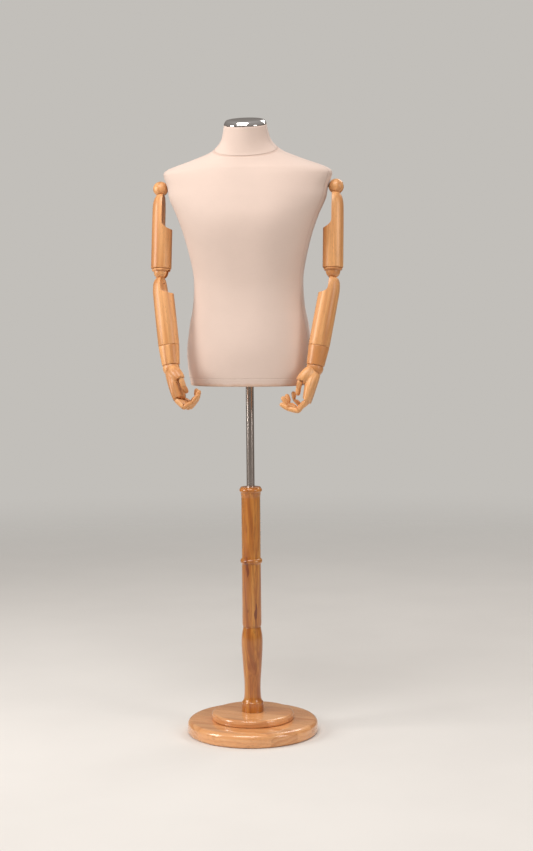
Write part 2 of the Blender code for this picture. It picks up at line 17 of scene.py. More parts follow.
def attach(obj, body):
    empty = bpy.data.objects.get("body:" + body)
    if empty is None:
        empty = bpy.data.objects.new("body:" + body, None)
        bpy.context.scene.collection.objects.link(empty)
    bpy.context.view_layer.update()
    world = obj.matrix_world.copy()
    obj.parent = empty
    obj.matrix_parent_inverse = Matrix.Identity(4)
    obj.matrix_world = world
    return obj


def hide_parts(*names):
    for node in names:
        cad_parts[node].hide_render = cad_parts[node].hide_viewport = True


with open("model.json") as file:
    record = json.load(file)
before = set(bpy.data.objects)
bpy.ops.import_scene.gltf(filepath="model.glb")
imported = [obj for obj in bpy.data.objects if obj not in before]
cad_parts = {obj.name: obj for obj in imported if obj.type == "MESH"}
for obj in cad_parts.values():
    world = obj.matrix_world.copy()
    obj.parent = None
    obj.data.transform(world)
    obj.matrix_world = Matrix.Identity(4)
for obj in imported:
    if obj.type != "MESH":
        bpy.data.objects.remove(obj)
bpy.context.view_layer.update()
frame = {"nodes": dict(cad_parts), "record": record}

bl_info = {
    "name": "Jointed dress form",
    "version": (1, 0, 0),
    "blender": (4, 5, 0),
    "location": "View3D > Sidebar > Dress form",
    "description": "Builds the finish of a cloth-covered dress form with jointed wooden arms",
    "category": "Object",
}

GAP = 0.0003

# Stand
BASE_R = 0.180
BASE_TOP_Z = 0.0372
PLINTH_R = 0.113
PLINTH_TOP_Z = 0.0575
POST_SPLIT_Z = 0.2935
POST_TOP_Z = 0.6809
POLE_R = 0.0108
POLE_WALL = 0.0015
POLE_BOTTOM_Z = 0.3145
POLE_TOP_Z = 1.0345
BORE_R = POLE_R + 0.0005
BORE_BOTTOM_Z = 0.085
KNOB_Z = 0.6680
BOLT_R = 0.005

# Torso: height, half width, half depth, centre's Y, roundness exponent, forward tilt in degrees
TORSO_STATIONS = (
    (0.9615, 0.159, 0.112, 0.005, 2.5, 0),
    (0.9995, 0.166, 0.116, 0.006, 2.5, 0),
    (1.0565, 0.1695, 0.116, 0.006, 2.4, 0),
    (1.1215, 0.1615, 0.109, 0.004, 2.4, 0),
    (1.1705, 0.152, 0.104, 0.002, 2.4, 0),
    (1.2195, 0.148, 0.103, 0.000, 2.4, 0),
    (1.2675, 0.150, 0.108, -0.002, 2.4, 0),
    (1.3485, 0.1675, 0.117, -0.006, 2.5, 0),
    (1.4125, 0.189, 0.119, -0.008, 2.5, 0),
    (1.4605, 0.2105, 0.114, -0.006, 2.5, 0),
    (1.4915, 0.2165, 0.109, -0.004, 2.5, 0),
    (1.5185, 0.2260, 0.103, -0.003, 2.4, 0),
    (1.5329, 0.2275, 0.099, -0.003, 2.3, 1),
    (1.5435, 0.214, 0.095, -0.004, 2.2, 2),
    (1.5541, 0.187, 0.090, -0.005, 2.1, 4),
    (1.5645, 0.156, 0.085, -0.007, 2.0, 6),
    (1.5755, 0.126, 0.079, -0.010, 2.0, 8),
    (1.5860, 0.100, 0.073, -0.014, 2.0, 10),
    (1.6005, 0.080, 0.066, -0.021, 2.0, 12),
    (1.6205, 0.0655, 0.062, -0.027, 2.0, 12),
    (1.6565, 0.0565, 0.058, -0.036, 2.0, 12),
)
COVER_SIDES = 144
COVER_STEPS = 8
COVER_THICKNESS = 0.0015
NECK_SEAM_STATION = 17
NECK_SEAM_DIP = 0.029
NECK_SEAM_RISE = 0.012
SIDE_SEAM_DEG = 14

# Arms, in the frames of their joints: +X away from the torso, -Z down the limb
SHOULDER = Vector((0.2390, 0.0, 1.4915))
BALL_R = 0.0205
STUD_R = 0.004
PIN_R = 0.0025
TONGUE_THICKNESS = 0.012
PIN_REACH = 0.0140
PIN_HOLE_REACH = 0.0145
NOTCH_REACH = 0.034
SHOULDER_TONGUE_R = 0.009
ELBOW_TONGUE_R = 0.006
ARM_AXIS_X = -0.0067
UPPER_ARM_LENGTH = 0.2200
ARM_R = 0.0275
NOTCH_PLANE_X = -0.003
ELBOW_DROP = 0.0090
ELBOW_R = 0.0195
FOREARM_LENGTH = 0.2030
SPIGOT_R = 0.006
SPIGOT_LENGTH = 0.018
CUFF_LENGTH = 0.0520
CUFF_END_R = 0.0238
WRIST_DROP = 0.0080
WRIST_R = 0.0225

# Hands, in the palm's frame: name, knuckle's Y and Z, radius, lengths of the segments
FINGERS = (
    ("index", -0.0280, -0.092, 0.0076, (0.033, 0.029, 0.024)),
    ("middle", -0.0095, -0.092, 0.0078, (0.035, 0.031, 0.025)),
    ("ring", 0.0088, -0.092, 0.0075, (0.033, 0.029, 0.024)),
    ("little", 0.0262, -0.084, 0.0068, (0.027, 0.023, 0.021)),
)
KNUCKLE_ROWS = ((-0.060, 0.0180, -0.092), (0.0176, 0.060, -0.084))
SEGMENTS = ("proximal", "middle", "distal")
SEGMENT_TAPER = 0.93
THUMB_BASE = Vector((-0.0275, -0.0260, -0.0430))
THUMB_R = 0.0076
THUMB_LENGTHS = (0.022, 0.021)
KNUCKLE_SHARE = 0.86
SEAT_SHARE = 1.01
PALM_MITER = math.radians(32)
FINGER_MITER = math.radians(55)
MELT_TRIM = 0.0008

# Rest pose, in degrees: forward swing, twist and bend at the elbow, bend at the wrist, fingers,
# thumb
POSES = {
    "left": {
        "swing": 9.0,
        "twist": 0.0,
        "elbow": 9.9,
        "wrist": 3.0,
        "index": (24, 66, 20),
        "middle": (34, 74, 28),
        "ring": (40, 78, 30),
        "little": (44, 80, 32),
        "thumb": (20, 14),
    },
    "right": {
        "swing": 10.5,
        "twist": 12.0,
        "elbow": 7.8,
        "wrist": 9.5,
        "index": (30, 74, 18),
        "middle": (36, 80, 26),
        "ring": (41, 82, 30),
        "little": (45, 82, 32),
        "thumb": (20, 12),
    },
}

# Stage, with its angles in degrees
FLOOR_R = 6.0
FLOOR_FADE_R = 1.6
CAMERA_DISTANCE = 4.5
CAMERA_HEIGHT = 1.2345
CAMERA_AZIMUTH = 8.5
CAMERA_AIM = 0.57
CAMERA_PITCH = 4.9
CAMERA_ROLL = -0.5
CAMERA_LENS = 70.1
SENSOR_HEIGHT = 36.0
AMBIENT_STRENGTH = 0.45
BACKDROP_COLOR = (0.54, 0.52, 0.49, 1.0)

MIRROR = Matrix.Diagonal((-1, 1, 1, 1))


# ---------------------------------------------------------------- shader nodes


class Wire:
    """A shader socket that takes part in sums. Each operation on it adds a Math node."""

    def __init__(self, finish, socket):
        self.finish = finish
        self.socket = socket

    def _math(self, operation, first, second, clamp=False):
        settings = {"operation": operation, "use_clamp": clamp}
        return self.finish.node("ShaderNodeMath", settings, {0: first, 1: second})

    def __add__(self, other):
        return self._math("ADD", self, other)

    def __sub__(self, other):
        return self._math("SUBTRACT", self, other)

    def __mul__(self, other):
        return self._math("MULTIPLY", self, other)

    def __truediv__(self, other):
        return self._math("DIVIDE", self, other)

    def __pow__(self, other):
        return self._math("POWER", self, other)

    def __rsub__(self, other):
        return self._math("SUBTRACT", other, self)

    __radd__ = __add__
    __rmul__ = __mul__

    def size(self):
        return self._math("ABSOLUTE", self, 0.0)

    def least(self, other):
        return self._math("MINIMUM", self, other)


class Finish:
    """One procedural material and the nodes that vary its surface."""

    def __init__(self, name, **constants):
        self.material = bpy.data.materials.get(name) or bpy.data.materials.new(name)
        self.material.use_nodes = True
        self.tree = self.material.node_tree
        self.tree.nodes.clear()
        self.shader = self.tree.nodes.new("ShaderNodeBsdfPrincipled")
        output = self.tree.nodes.new("ShaderNodeOutputMaterial")
        self.tree.links.new(self.shader.outputs[0], output.inputs["Surface"])
        for socket, value in constants.items():
            self.shader.inputs[socket.replace("_", " ")].default_value = value

    def plug(self, value, socket):
        if isinstance(value, Wire):
            self.tree.links.new(value.socket, socket)
        elif isinstance(value, (tuple, list)) and len(value) == 3 and socket.type == "RGBA":
            socket.default_value = (*value, 1.0)
        else:
            socket.default_value = value

    def node(self, kind, settings=None, inputs=None, output=0):
        """Adds a node, with its settings first and then its sockets' values or links."""
        made = self.tree.nodes.new(kind)
        for key, value in (settings or {}).items():
            if key == "stops":
                self.set_stops(made.color_ramp, value)
            else:
                setattr(made, key, value)
        for key, value in (inputs or {}).items():
            self.plug(value, made.inputs[key])
        return Wire(self, made.outputs[output])

    @staticmethod
    def set_stops(ramp, stops):
        while len(ramp.elements) < len(stops):
            ramp.elements.new(0.5)
        for element, (position, color) in zip(ramp.elements, stops):
            element.position = position
            element.color = (*color, 1.0)

    def place(self):
        """Object coordinates, which are the whole form's."""
        return self.node("ShaderNodeTexCoord", output="Object")

    def attribute(self, name, output="Fac"):
        return self.node("ShaderNodeAttribute", {"attribute_name": name}, output=output)

    def mapped(self, vector, scale=(1, 1, 1), turn=(0, 0, 0), move=(0, 0, 0)):
        inputs = {"Vector": vector, "Location": move, "Rotation": turn, "Scale": scale}
        return self.node("ShaderNodeMapping", None, inputs)

    def noise(self, vector, scale, detail=3.0, roughness=0.55, distortion=0.0):
        inputs = {
            "Vector": vector,
            "Scale": scale,
            "Detail": detail,
            "Roughness": roughness,
            "Distortion": distortion,
        }
        return self.node("ShaderNodeTexNoise", None, inputs)

    def step(self, value, low, high, from_value=0.0, to_value=1.0):
        """A smooth step from one value to another as the input goes from low to high."""
        settings = {"interpolation_type": "SMOOTHSTEP"}
        inputs = {"Value": value, 1: low, 2: high, 3: from_value, 4: to_value}
        return self.node("ShaderNodeMapRange", settings, inputs)

    def mix(self, share, first, second, blend="MIX"):
        settings = {"data_type": "RGBA", "blend_type": blend, "clamp_factor": True}
        return self.node("ShaderNodeMix", settings, {0: share, 6: first, 7: second}, output=2)

    def axis(self, vector, name):
        return self.node("ShaderNodeSeparateXYZ", None, {0: vector}, output=name)

    def ramp(self, value, stops):
        return self.node("ShaderNodeValToRGB", {"stops": stops}, {"Fac": value})

    def bump(self, height, strength, distance):
        inputs = {"Strength": strength, "Distance": distance, "Height": height}
        self.drive("Normal", self.node("ShaderNodeBump", None, inputs))

    def drive(self, socket, value):
        self.plug(value, self.shader.inputs[socket])


def shade(color, factor):
    return tuple(min(1.0, channel * factor) for channel in color)


def tint(color, factors):
    return tuple(channel * factor for channel, factor in zip(color, factors))


def cloth_finish(color):
    """Close-woven cotton jersey with stitched seams, puckers beside them and a soiled hem; painted
    shade darkens the seam creases and a fold above the hem, and a painted highlight lightens the
    welts.
    """
    finish = Finish("cover_cloth", Roughness=0.88, Sheen_Weight=0.25, Sheen_Roughness=0.45)
    at = finish.place()
    height = finish.axis(at, "Z")
    threads = {"Vector": at, "Scale": 210.0, "Distortion": 1.6, "Detail": 1.0, "Detail Scale": 30.0}
    weave_u, weave_v = (
        finish.node("ShaderNodeTexWave", {"wave_type": "BANDS", "bands_direction": way}, threads)
        for way in "ZX"
    )
    weave = (weave_u + weave_v) * 0.5
    slub = finish.noise(finish.mapped(at, (60, 60, 420)), 1.0, 3.0, 0.6)
    cloud = finish.noise(at, 7.0, 3.0, 0.5)
    tone = finish.mix(finish.step(cloud, 0.35, 0.7), color, shade(color, 0.955))
    tone = finish.mix(finish.step(slub, 0.45, 0.8, 0.0, 0.10), tone, shade(color, 0.82))
    tone = finish.mix(weave * 0.05, tone, shade(color, 0.7))

    neck = finish.attribute("neck_seam").size()
    side = finish.attribute("side_seam").size()
    armhole = finish.attribute("armhole_seam").size()
    line = neck.least(side * 1.6)
    # Painted shade: the cloth is darkened in the creases of the neck and side seams, where shade
    # falls.
    seam_crease_shade = finish.step(line, 0.0008, 0.0030, 1.0, 0.0)
    # Painted highlight: the raised welts beside the seams and round the armhole are lightened. The
    # same band also masks the puckers.
    welt_highlight = finish.step(line.least(armhole), 0.0020, 0.0120, 1.0, 0.0)
    tone = finish.mix(seam_crease_shade * 0.38, tone, shade(tint(color, (1.0, 0.80, 0.70)), 0.66))
    tone = finish.mix(welt_highlight * 0.05, tone, shade(color, 1.12))

    ragged = finish.noise(finish.mapped(at, (45, 45, 6)), 1.0, 4.0, 0.6) * 0.010
    hem = finish.step(height - ragged, 0.9590, 0.9665, 1.0, 0.0)
    tone = finish.mix(hem * 0.55, tone, tint(color, (0.80, 0.60, 0.42)))
    # Painted shade: a thin dark line along a fold a little above the hem, where shade falls in the
    # fold.
    fold = finish.step(height - ragged * 0.3, 0.9800, 0.9820, 1.0, 0.0)
    fold_crease_shade = fold * (1 - finish.step(height - ragged * 0.3, 0.9785, 0.9800, 1.0, 0.0))
    tone = finish.mix(fold_crease_shade * 0.22, tone, shade(color, 0.66))
    finish.drive("Base Color", tone)

    pucker = finish.noise(finish.mapped(at, (150, 150, 60)), 1.0, 2.0, 0.5) * welt_highlight
    relief = weave * 0.10 + slub * 0.14 - seam_crease_shade * 1.6 + pucker * 0.8 - fold_crease_shade * 0.5
    finish.bump(relief, 0.70, 0.0012)
    return finish.material


def arm_wood_finish(color):
    """Steamed beech under satin lacquer: fine straight pores along each limb, short flecks and
    slow tone bands.
    """
    finish = Finish("arm_wood", Coat_Weight=0.35, Coat_Roughness=0.28)
    along = finish.attribute("grain", "Vector")
    bands = finish.noise(finish.mapped(along, (38, 38, 1.6)), 1.0, 3.0, 0.55, 0.3)
    fibre = finish.noise(finish.mapped(along, (420, 420, 9)), 1.0, 3.0, 0.65)
    flecks = finish.noise(finish.mapped(along, (900, 500, 110)), 1.0, 2.0, 0.5)
    tone = finish.ramp(
        finish.step(bands, 0.34, 0.66),
        ((0.0, shade(color, 1.18)), (0.5, color), (1.0, tint(color, (0.78, 0.64, 0.50)))),
    )
    tone = finish.mix(finish.step(fibre, 0.46, 0.66, 0.0, 0.42), tone, shade(color, 0.60))
    tone = finish.mix(finish.step(flecks, 0.58, 0.68, 0.0, 0.40), tone, shade(color, 0.45))
    finish.drive("Base Color", tone)
    finish.drive("Roughness", 0.36 + fibre * 0.16)
    finish.bump(fibre * 0.6 + flecks * 0.4, 0.12, 0.0003)
    return finish.material


def post_wood_finish(color):
    """Glossy lacquered cherry with long streaks, dark gum marks and a few knots."""
    finish = Finish("post_wood", Coat_Weight=0.60, Coat_Roughness=0.06)
    at = finish.place()
    bent = finish.mapped(at, (1, 1, 1), (0.05, 0.035, 0))
    streaks = finish.noise(finish.mapped(bent, (75, 75, 2.6)), 1.0, 4.0, 0.6, 0.6)
    fibre = finish.noise(finish.mapped(bent, (330, 330, 8)), 1.0, 3.0, 0.65)
    slow = finish.noise(finish.mapped(at, (14, 14, 3.5)), 1.0, 2.0, 0.5)
    tone = finish.ramp(
        finish.step(streaks, 0.31, 0.69),
        ((0.0, tint(color, (1.30, 1.62, 2.1))), (0.5, color),
         (1.0, tint(color, (0.66, 0.50, 0.42)))),
    )
    tone = finish.mix(finish.step(slow, 0.42, 0.70, 0.0, 0.5), tone, shade(color, 1.35))
    tone = finish.mix(finish.step(fibre, 0.48, 0.66, 0.0, 0.48), tone, shade(color, 0.46))
    gum = finish.noise(
        finish.mapped(at, (62, 62, 13), (0.0, 0.42, 0.0), (3.1, 0.4, 1.7)), 1.0, 2.0, 0.45
    )
    height = finish.axis(at, "Z")
    flawed = finish.step(height, 0.27, 0.33) * finish.step(height, 0.46, 0.52, 1.0, 0.25)
    marks = finish.step(gum, 0.620, 0.650) * flawed
    tone = finish.mix(marks * 0.85, tone, tint(color, (0.32, 0.15, 0.12)))
    finish.drive("Base Color", tone)
    finish.drive("Roughness", 0.24 + fibre * 0.12)
    finish.bump(fibre * 0.5 + streaks * 0.5, 0.10, 0.0004)
    return finish.material


def base_wood_finish(color):
    """Glossy edge-glued boards: each strip has its own tone and its own long cathedral figure."""
    finish = Finish("base_wood", Coat_Weight=0.9, Coat_Roughness=0.06)
    at = finish.mapped(finish.place(), (1, 1, 1), (0, 0, math.radians(12)))
    across = finish.axis(at, "Y") / 0.062
    strip = finish.node("ShaderNodeMath", {"operation": "FLOOR"}, {0: across + 20.35})
    luck = finish.node(
        "ShaderNodeTexWhiteNoise", {"noise_dimensions": "1D"}, {"W": strip}, output="Value"
    )
    shift = finish.node("ShaderNodeCombineXYZ", None, {0: luck * 3.1, 1: luck * 0.9, 2: luck * 5.7})
    own = finish.node("ShaderNodeVectorMath", {"operation": "ADD"}, {0: at, 1: shift})
    rings = finish.node(
        "ShaderNodeTexWave",
        {"wave_type": "RINGS", "rings_direction": "X", "wave_profile": "SAW"},
        {"Vector": finish.mapped(own, (1.1, 9.0, 11.0)), "Scale": 2.3, "Distortion": 5.5,
        "Detail": 3.0,
         "Detail Scale": 0.75, "Detail Roughness": 0.55},
    )
    fibre = finish.noise(finish.mapped(own, (9, 330, 330)), 1.0, 3.0, 0.65)
    slow = finish.noise(finish.mapped(own, (3, 16, 16)), 1.0, 2.0, 0.5)
    dark = tint(color, (0.80, 0.62, 0.46))
    tone = finish.mix(finish.step(rings, 0.20, 0.95, 0.0, 0.80), color, dark)
    tone = finish.mix(finish.step(slow, 0.40, 0.64, 0.0, 0.50), tone, dark)
    tone = finish.mix(luck * 0.50, tone, shade(color, 1.25))
    tone = finish.mix(finish.step(fibre, 0.48, 0.68, 0.0, 0.40), tone, shade(dark, 0.62))
    finish.drive("Base Color", tone)
    finish.drive("Roughness", 0.22 + fibre * 0.12)
    finish.bump(fibre * 0.5 + rings * 0.5, 0.05, 0.0003)
    return finish.material


def board_finish():
    """Bare birch ply: pale face veneer and dark layers on its edge."""
    color = (0.60, 0.42, 0.25)
    finish = Finish("board_wood", Roughness=0.75)
    at = finish.place()
    face = finish.noise(finish.mapped(at, (9, 130, 130)), 1.0, 4.0, 0.6, 0.6)
    plies = finish.node(
        "ShaderNodeTexWave",
        {"wave_type": "BANDS", "bands_direction": "Z"},
        {"Vector": at, "Scale": 130.0},
    )
    tone = finish.mix(finish.step(face, 0.40, 0.75), color, shade(color, 0.70))
    tone = finish.mix(plies * 0.25, tone, shade(color, 0.55))
    finish.drive("Base Color", tone)
    finish.bump(face, 0.15, 0.0004)
    return finish.material


def shell_finish():
    """Pressed fibre and resin, with a coarse fibrous surface."""
    color = (0.62, 0.58, 0.52)
    finish = Finish("shell_composite")
    fibres = finish.noise(finish.mapped(finish.place(), (70, 70, 110)), 1.0, 5.0, 0.7, 1.5)
    finish.drive(
        "Base Color", finish.mix(finish.step(fibres, 0.35, 0.7), color, shade(color, 0.72))
    )
    finish.drive("Roughness", 0.60 + fibres * 0.25)
    finish.bump(fibres, 0.30, 0.001)
    return finish.material


def metal_finish(name, color, low, high, scale, strength):
    """Bare metal whose roughness and fine lines follow the direction it was brushed or polished
    in.
    """
    finish = Finish(name, Metallic=1.0)
    at = finish.place()
    lines = finish.noise(finish.mapped(at, scale), 1.0, 3.0, 0.6)
    haze = finish.noise(at, 18.0, 3.0, 0.6)
    finish.drive("Base Color", finish.mix(haze * 0.30, color, shade(color, 0.82)))
    finish.drive("Roughness", low + lines * ((high - low) * 0.6) + haze * ((high - low) * 0.4))
    finish.bump(lines, strength, 0.0002)
    return finish.material


def plastic_finish():
    """Moulded black plastic with a fine stipple, worn a little paler."""
    finish = Finish("black_plastic")
    at = finish.place()
    stipple = finish.noise(at, 1500.0, 2.0, 0.5)
    wear = finish.noise(at, 130.0, 3.0, 0.6)
    tone = finish.mix(
        finish.step(wear, 0.50, 0.75, 0.0, 0.5), (0.018, 0.018, 0.019), (0.050, 0.048, 0.046)
    )
    finish.drive("Base Color", tone)
    finish.drive("Roughness", 0.34 + wear * 0.22)
    finish.bump(stipple, 0.15, 0.0002)
    return finish.material


def stage_finish(color):
    """Matt painted board, very slightly mottled, that fades into the backdrop well away from the
    form.
    """
    finish = Finish("stage_paint", Roughness=0.9)
    at = finish.place()
    reach = (finish.axis(at, "X") ** 2.0 + finish.axis(at, "Y") ** 2.0) ** 0.5
    finish.drive("Alpha", finish.step(reach, FLOOR_FADE_R, FLOOR_R * 0.9, 1.0, 0.0))
    mottle = finish.noise(at, 2.2, 3.0, 0.5)
    finish.drive("Base Color", finish.mix(finish.step(mottle, 0.3, 0.7), color, shade(color, 0.97)))
    return finish.material


made_finishes = {}


def finishes(form):
    """The materials, made once and kept by name."""
    return {
        "cover_cloth": lambda: cloth_finish(tuple(form.cloth_color)),
        "arm_wood": lambda: arm_wood_finish(tuple(form.arm_color)),
        "post_wood": lambda: post_wood_finish(tuple(form.post_color)),
        "base_wood": lambda: base_wood_finish(tuple(form.base_color)),
        "board_wood": board_finish,
        "shell_composite": shell_finish,
        "polished_chrome": lambda: metal_finish(
            "polished_chrome", (0.86, 0.84, 0.84), 0.03, 0.12, (40, 40, 900), 0.02
        ),
        "brushed_steel": lambda: metal_finish(
            "brushed_steel", (0.66, 0.60, 0.56), 0.16, 0.34, (90, 90, 1800), 0.05
        ),
        "black_plastic": plastic_finish,
        "stage_paint": lambda: stage_finish(tuple(form.floor_color)),
    }


def material(name):
    if name not in made_finishes:
        made_finishes[name] = finishes(bpy.context.scene.dress_form)[name]()
    return made_finishes[name]


# ---------------------------------------------------------------- mesh helpers


def new_object(name, points, faces):
    mesh = bpy.data.meshes.new(name)
    mesh.from_pydata([tuple(p) for p in points], [], faces)
    mesh.validate()
    piece = bpy.data.objects.new(name, mesh)
    bpy.context.collection.objects.link(piece)
    return piece


def stack(rings, closed_loop=False):
    """Faces over rings of equal size. A ring of one point is a pole; a closed loop joins the
    last ring to the first.
    """
    points = [p for ring in rings for p in ring]
    starts = []
    total = 0
    for ring in rings:
        starts.append(total)
        total += len(ring)
    pairs = list(zip(range(len(rings) - 1), range(1, len(rings))))
    if closed_loop:
        pairs.append((len(rings) - 1, 0))
    faces = []
    for lower, upper in pairs:
        count = max(len(rings[lower]), len(rings[upper]))
        for i in range(count):
            j = (i + 1) % count
            corners = []
            for ring, order in ((lower, (i, j)), (upper, (j, i))):
                if len(rings[ring]) == 1:
                    corners.append(starts[ring])
                else:
                    corners += [starts[ring] + k for k in order]
            faces.append(corners)
    return points, faces


def face_outwards(piece, angle=38):
    """Turns every face out, and shades round surfaces smooth."""
    shape = bmesh.new()
    shape.from_mesh(piece.data)
    bmesh.ops.remove_doubles(shape, verts=shape.verts, dist=1e-7)
    bmesh.ops.recalc_face_normals(shape, faces=shape.faces)
    if shape.calc_volume(signed=True) < 0:
        bmesh.ops.reverse_faces(shape, faces=shape.faces)
    shape.to_mesh(piece.data)
    shape.free()
    piece.data.shade_smooth()
    piece.data.set_sharp_from_angle(angle=math.radians(angle))
    return piece


def circle(radius, z, sides, centre=(0.0, 0.0)):
    if radius == 0:
        return [(centre[0], centre[1], z)]
    turn = 2 * math.pi / sides
    return [
        (centre[0] + radius * math.cos(turn * i), centre[1] + radius * math.sin(turn * i), z)
        for i in range(sides)
    ]


def eased(profile, radius, closed_loop):
    """The profile with each sharp corner rounded over, so that edges catch the light."""
    count = len(profile)
    rounded = []
    for i, point in enumerate(profile):
        if not closed_loop and i in (0, count - 1):
            rounded.append(point)
            continue
        corner = Vector(point)
        before = Vector(profile[i - 1]) - corner
        after = Vector(profile[(i + 1) % count]) - corner
        turn = math.pi - before.angle(after, math.pi)
        if turn < math.radians(24) or min(before.length, after.length) < 1e-6:
            rounded.append(point)
            continue
        reach = min(radius, before.length * 0.42, after.length * 0.42)
        start = corner + before.normalized() * reach
        end = corner + after.normalized() * reach
        for share in (0.0, 0.25, 0.5, 0.75, 1.0):
            rounded.append(tuple(start.lerp(corner, share).lerp(corner.lerp(end, share), share)))
    return rounded


def turned(name, profile, sides, centre=(0.0, 0.0), ease=0.0007):
    """A turned piece from (radius, z) points. A profile that starts off the axis is a closed
    loop round a bore.
    """
    closed_loop = profile[0][0] > 0
    if ease:
        profile = eased(profile, ease, closed_loop)
    rings = [circle(radius, z, sides, centre) for radius, z in profile]
    points, faces = stack(rings, closed_loop)
    return face_outwards(new_object(name, points, faces))


def arc(centre, radius, start, end, steps):
    """Points (r, z) on an arc, with its angles in degrees from the outward direction."""
    angles = [math.radians(start + (end - start) * i / steps) for i in range(steps + 1)]
    return [(centre[0] + radius * math.cos(a), centre[1] + radius * math.sin(a)) for a in angles]


def smooth_curve(points, steps):
    """More points on a smooth curve through the given ones."""
    ends = [points[0], *points, points[-1]]
    curve = []
    for p0, p1, p2, p3 in zip(ends, ends[1:], ends[2:], ends[3:]):
        for i in range(steps):
            t = i / steps
            curve.append(tuple(catmull(a, b, c, d, t) for a, b, c, d in zip(p0, p1, p2, p3)))
    return [*curve, points[-1]]


def catmull(a, b, c, d, t):
    return 0.5 * (
        2 * b + (c - a) * t + (2 * a - 5 * b + 4 * c - d) * t * t + (3 * b - a - 3 * c + d) * t**3
    )


def rod(name, start, end, radius, sides=24):
    """A plain round bar between two points."""
    start = Vector(start)
    along = Vector(end) - start
    piece = turned(
        name, [(0, 0), (radius, 0), (radius, along.length), (0, along.length)], sides, ease=0
    )
    piece.data.transform(
        Matrix.Translation(start) @ along.to_track_quat("Z", "Y").to_matrix().to_4x4()
    )
    return piece


def box(name, low, high):
    corners = [
        (x, y, z) for x in (low[0], high[0]) for y in (low[1], high[1]) for z in (low[2], high[2])
    ]
    faces = [(0, 1, 3, 2), (4, 6, 7, 5), (0, 4, 5, 1), (2, 3, 7, 6), (0, 2, 6, 4), (1, 5, 7, 3)]
    return face_outwards(new_object(name, corners, faces))


def prism(name, outline, low_y, high_y):
    """An outline of (x, z) points, pushed along Y."""
    rings = [[(x, y, z) for x, z in outline] for y in (low_y, high_y)]
    points, faces = stack(rings)
    count = len(outline)
    faces += [list(range(count)), list(range(count, 2 * count))]
    return face_outwards(new_object(name, points, faces))


def ball(name, centre, radius, sides=40, rings=20):
    steps = [math.pi * i / rings for i in range(rings + 1)]
    profile = [
        (radius * math.sin(a) if 0 < i < rings else 0, radius * math.cos(a))
        for i, a in enumerate(steps)
    ]
    piece = turned(name, profile, sides, ease=0)
    piece.data.transform(Matrix.Translation(centre))
    return piece


def combine(piece, operation, *others):
    """Joins or cuts the piece with each other piece, which is used up."""
    for other in others:
        step = piece.modifiers.new(operation.lower(), "BOOLEAN")
        step.operation = operation
        step.solver = "EXACT"
        step.object = other
    return settle(piece, others)


def settle(piece, used_up=()):
    """Turns the piece's modifiers into its mesh."""
    shaped = piece.evaluated_get(bpy.context.evaluated_depsgraph_get())
    mesh = bpy.data.meshes.new_from_object(shaped)
    piece.modifiers.clear()
    piece.data = mesh
    for other in used_up:
        bpy.data.objects.remove(other, do_unlink=True)
    return piece


def cut(piece, *cutters):
    return combine(piece, "DIFFERENCE", *cutters)


def join(piece, *others):
    return combine(piece, "UNION", *others)


def keep_grain(piece, offset):
    """Stores each point's place along its own limb, which the wood's grain follows."""
    stored = piece.data.attributes.new("grain", "FLOAT_VECTOR", "POINT")
    for value, vertex in zip(stored.data, piece.data.vertices):
        value.vector = vertex.co + offset


def fit_piece(piece, name, body, finish, nodes, matrix=None, mirrored=False):
    """Names a finished piece, puts it in place in its mesh, ties it to its body and hides its
    plain solids.
    """
    if matrix is not None:
        keep_grain(piece, Vector((len(name) * 0.37, ord(name[-1]) * 0.11, ord(name[0]) * 0.05)))
        piece.data.transform(matrix)
    if mirrored:
        piece.data.flip_normals()
    piece.name = name
    piece.data.name = name
    piece.data.materials.clear()
    piece.data.materials.append(material(finish))
    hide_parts(*nodes)
    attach(piece, body)
    return piece


# ---------------------------------------------------------------- torso


def superellipse(station, sides):
    z, half_width, half_depth, middle_y, exponent, tilt = station
    slope = math.tan(math.radians(tilt))
    ring = []
    for i in range(sides):
        angle = 2 * math.pi * i / sides
        c, s = math.cos(angle), math.sin(angle)
        x = half_width * math.copysign(abs(c) ** (2 / exponent), c)
        y = half_depth * math.copysign(abs(s) ** (2 / exponent), s)
        ring.append(Vector((x, middle_y + y, z + y * slope)))
    return ring


def swell(point, middle, reach, height):
    """A soft rise or hollow around a point of the surface."""
    offset = [(point[i] - middle[i]) / reach[i] for i in range(3)]
    return height * math.exp(-sum(o * o for o in offset))


def body_shape(point):
    """How far the cloth stands off the plain section: chest, belly and shoulder blades."""
    relief = 0.0
    for side in (-1, 1):
        relief += swell(point, (side * 0.070, -0.12, 1.400), (0.070, 0.06, 0.062), 0.0055)
        relief += swell(point, (side * 0.085, 0.11, 1.445), (0.055, 0.05, 0.070), 0.0025)
    relief += swell(point, (0, -0.11, 1.075), (0.070, 0.06, 0.060), 0.0045)
    return relief


def armhole_distance(point):
    """Signed distance from the oval round the arm's stud, where the cloth puckers."""
    if abs(point.x) < 0.12:
        return 1.0
    across = (point.y + 0.004) / 0.074
    up = (point.z - 1.4665) / 0.068
    return (math.hypot(across, up) - 1.0) * 0.070


def cover_rings():
    """Rings of the cloth's outer surface from the hem to the neck, and the number of the neck
    seam's ring.
    """
    stations = smooth_curve(TORSO_STATIONS, COVER_STEPS)
    rings = [superellipse(station, COVER_SIDES) for station in stations]
    return rings, NECK_SEAM_STATION * COVER_STEPS


def surface_normals(rings):
    normals = []
    for level, ring in enumerate(rings):
        below = rings[max(level - 1, 0)]
        above = rings[min(level + 1, len(rings) - 1)]
        count = len(ring)
        row = []
        for i in range(count):
            around = ring[(i + 1) % count] - ring[i - 1]
            row.append(around.cross(above[i] - below[i]).normalized())
        normals.append(row)
    return normals


def neck_seam_height(point, ring):
    """How far a point lies above the neck seam, which dips at the front."""
    front = min(p.y for p in ring)
    side_y = ring[0].y
    share = min(1.0, max(0.0, (side_y - point.y) / (side_y - front)))
    dip = NECK_SEAM_DIP * share - NECK_SEAM_RISE
    return point.z - ring[0].z + dip


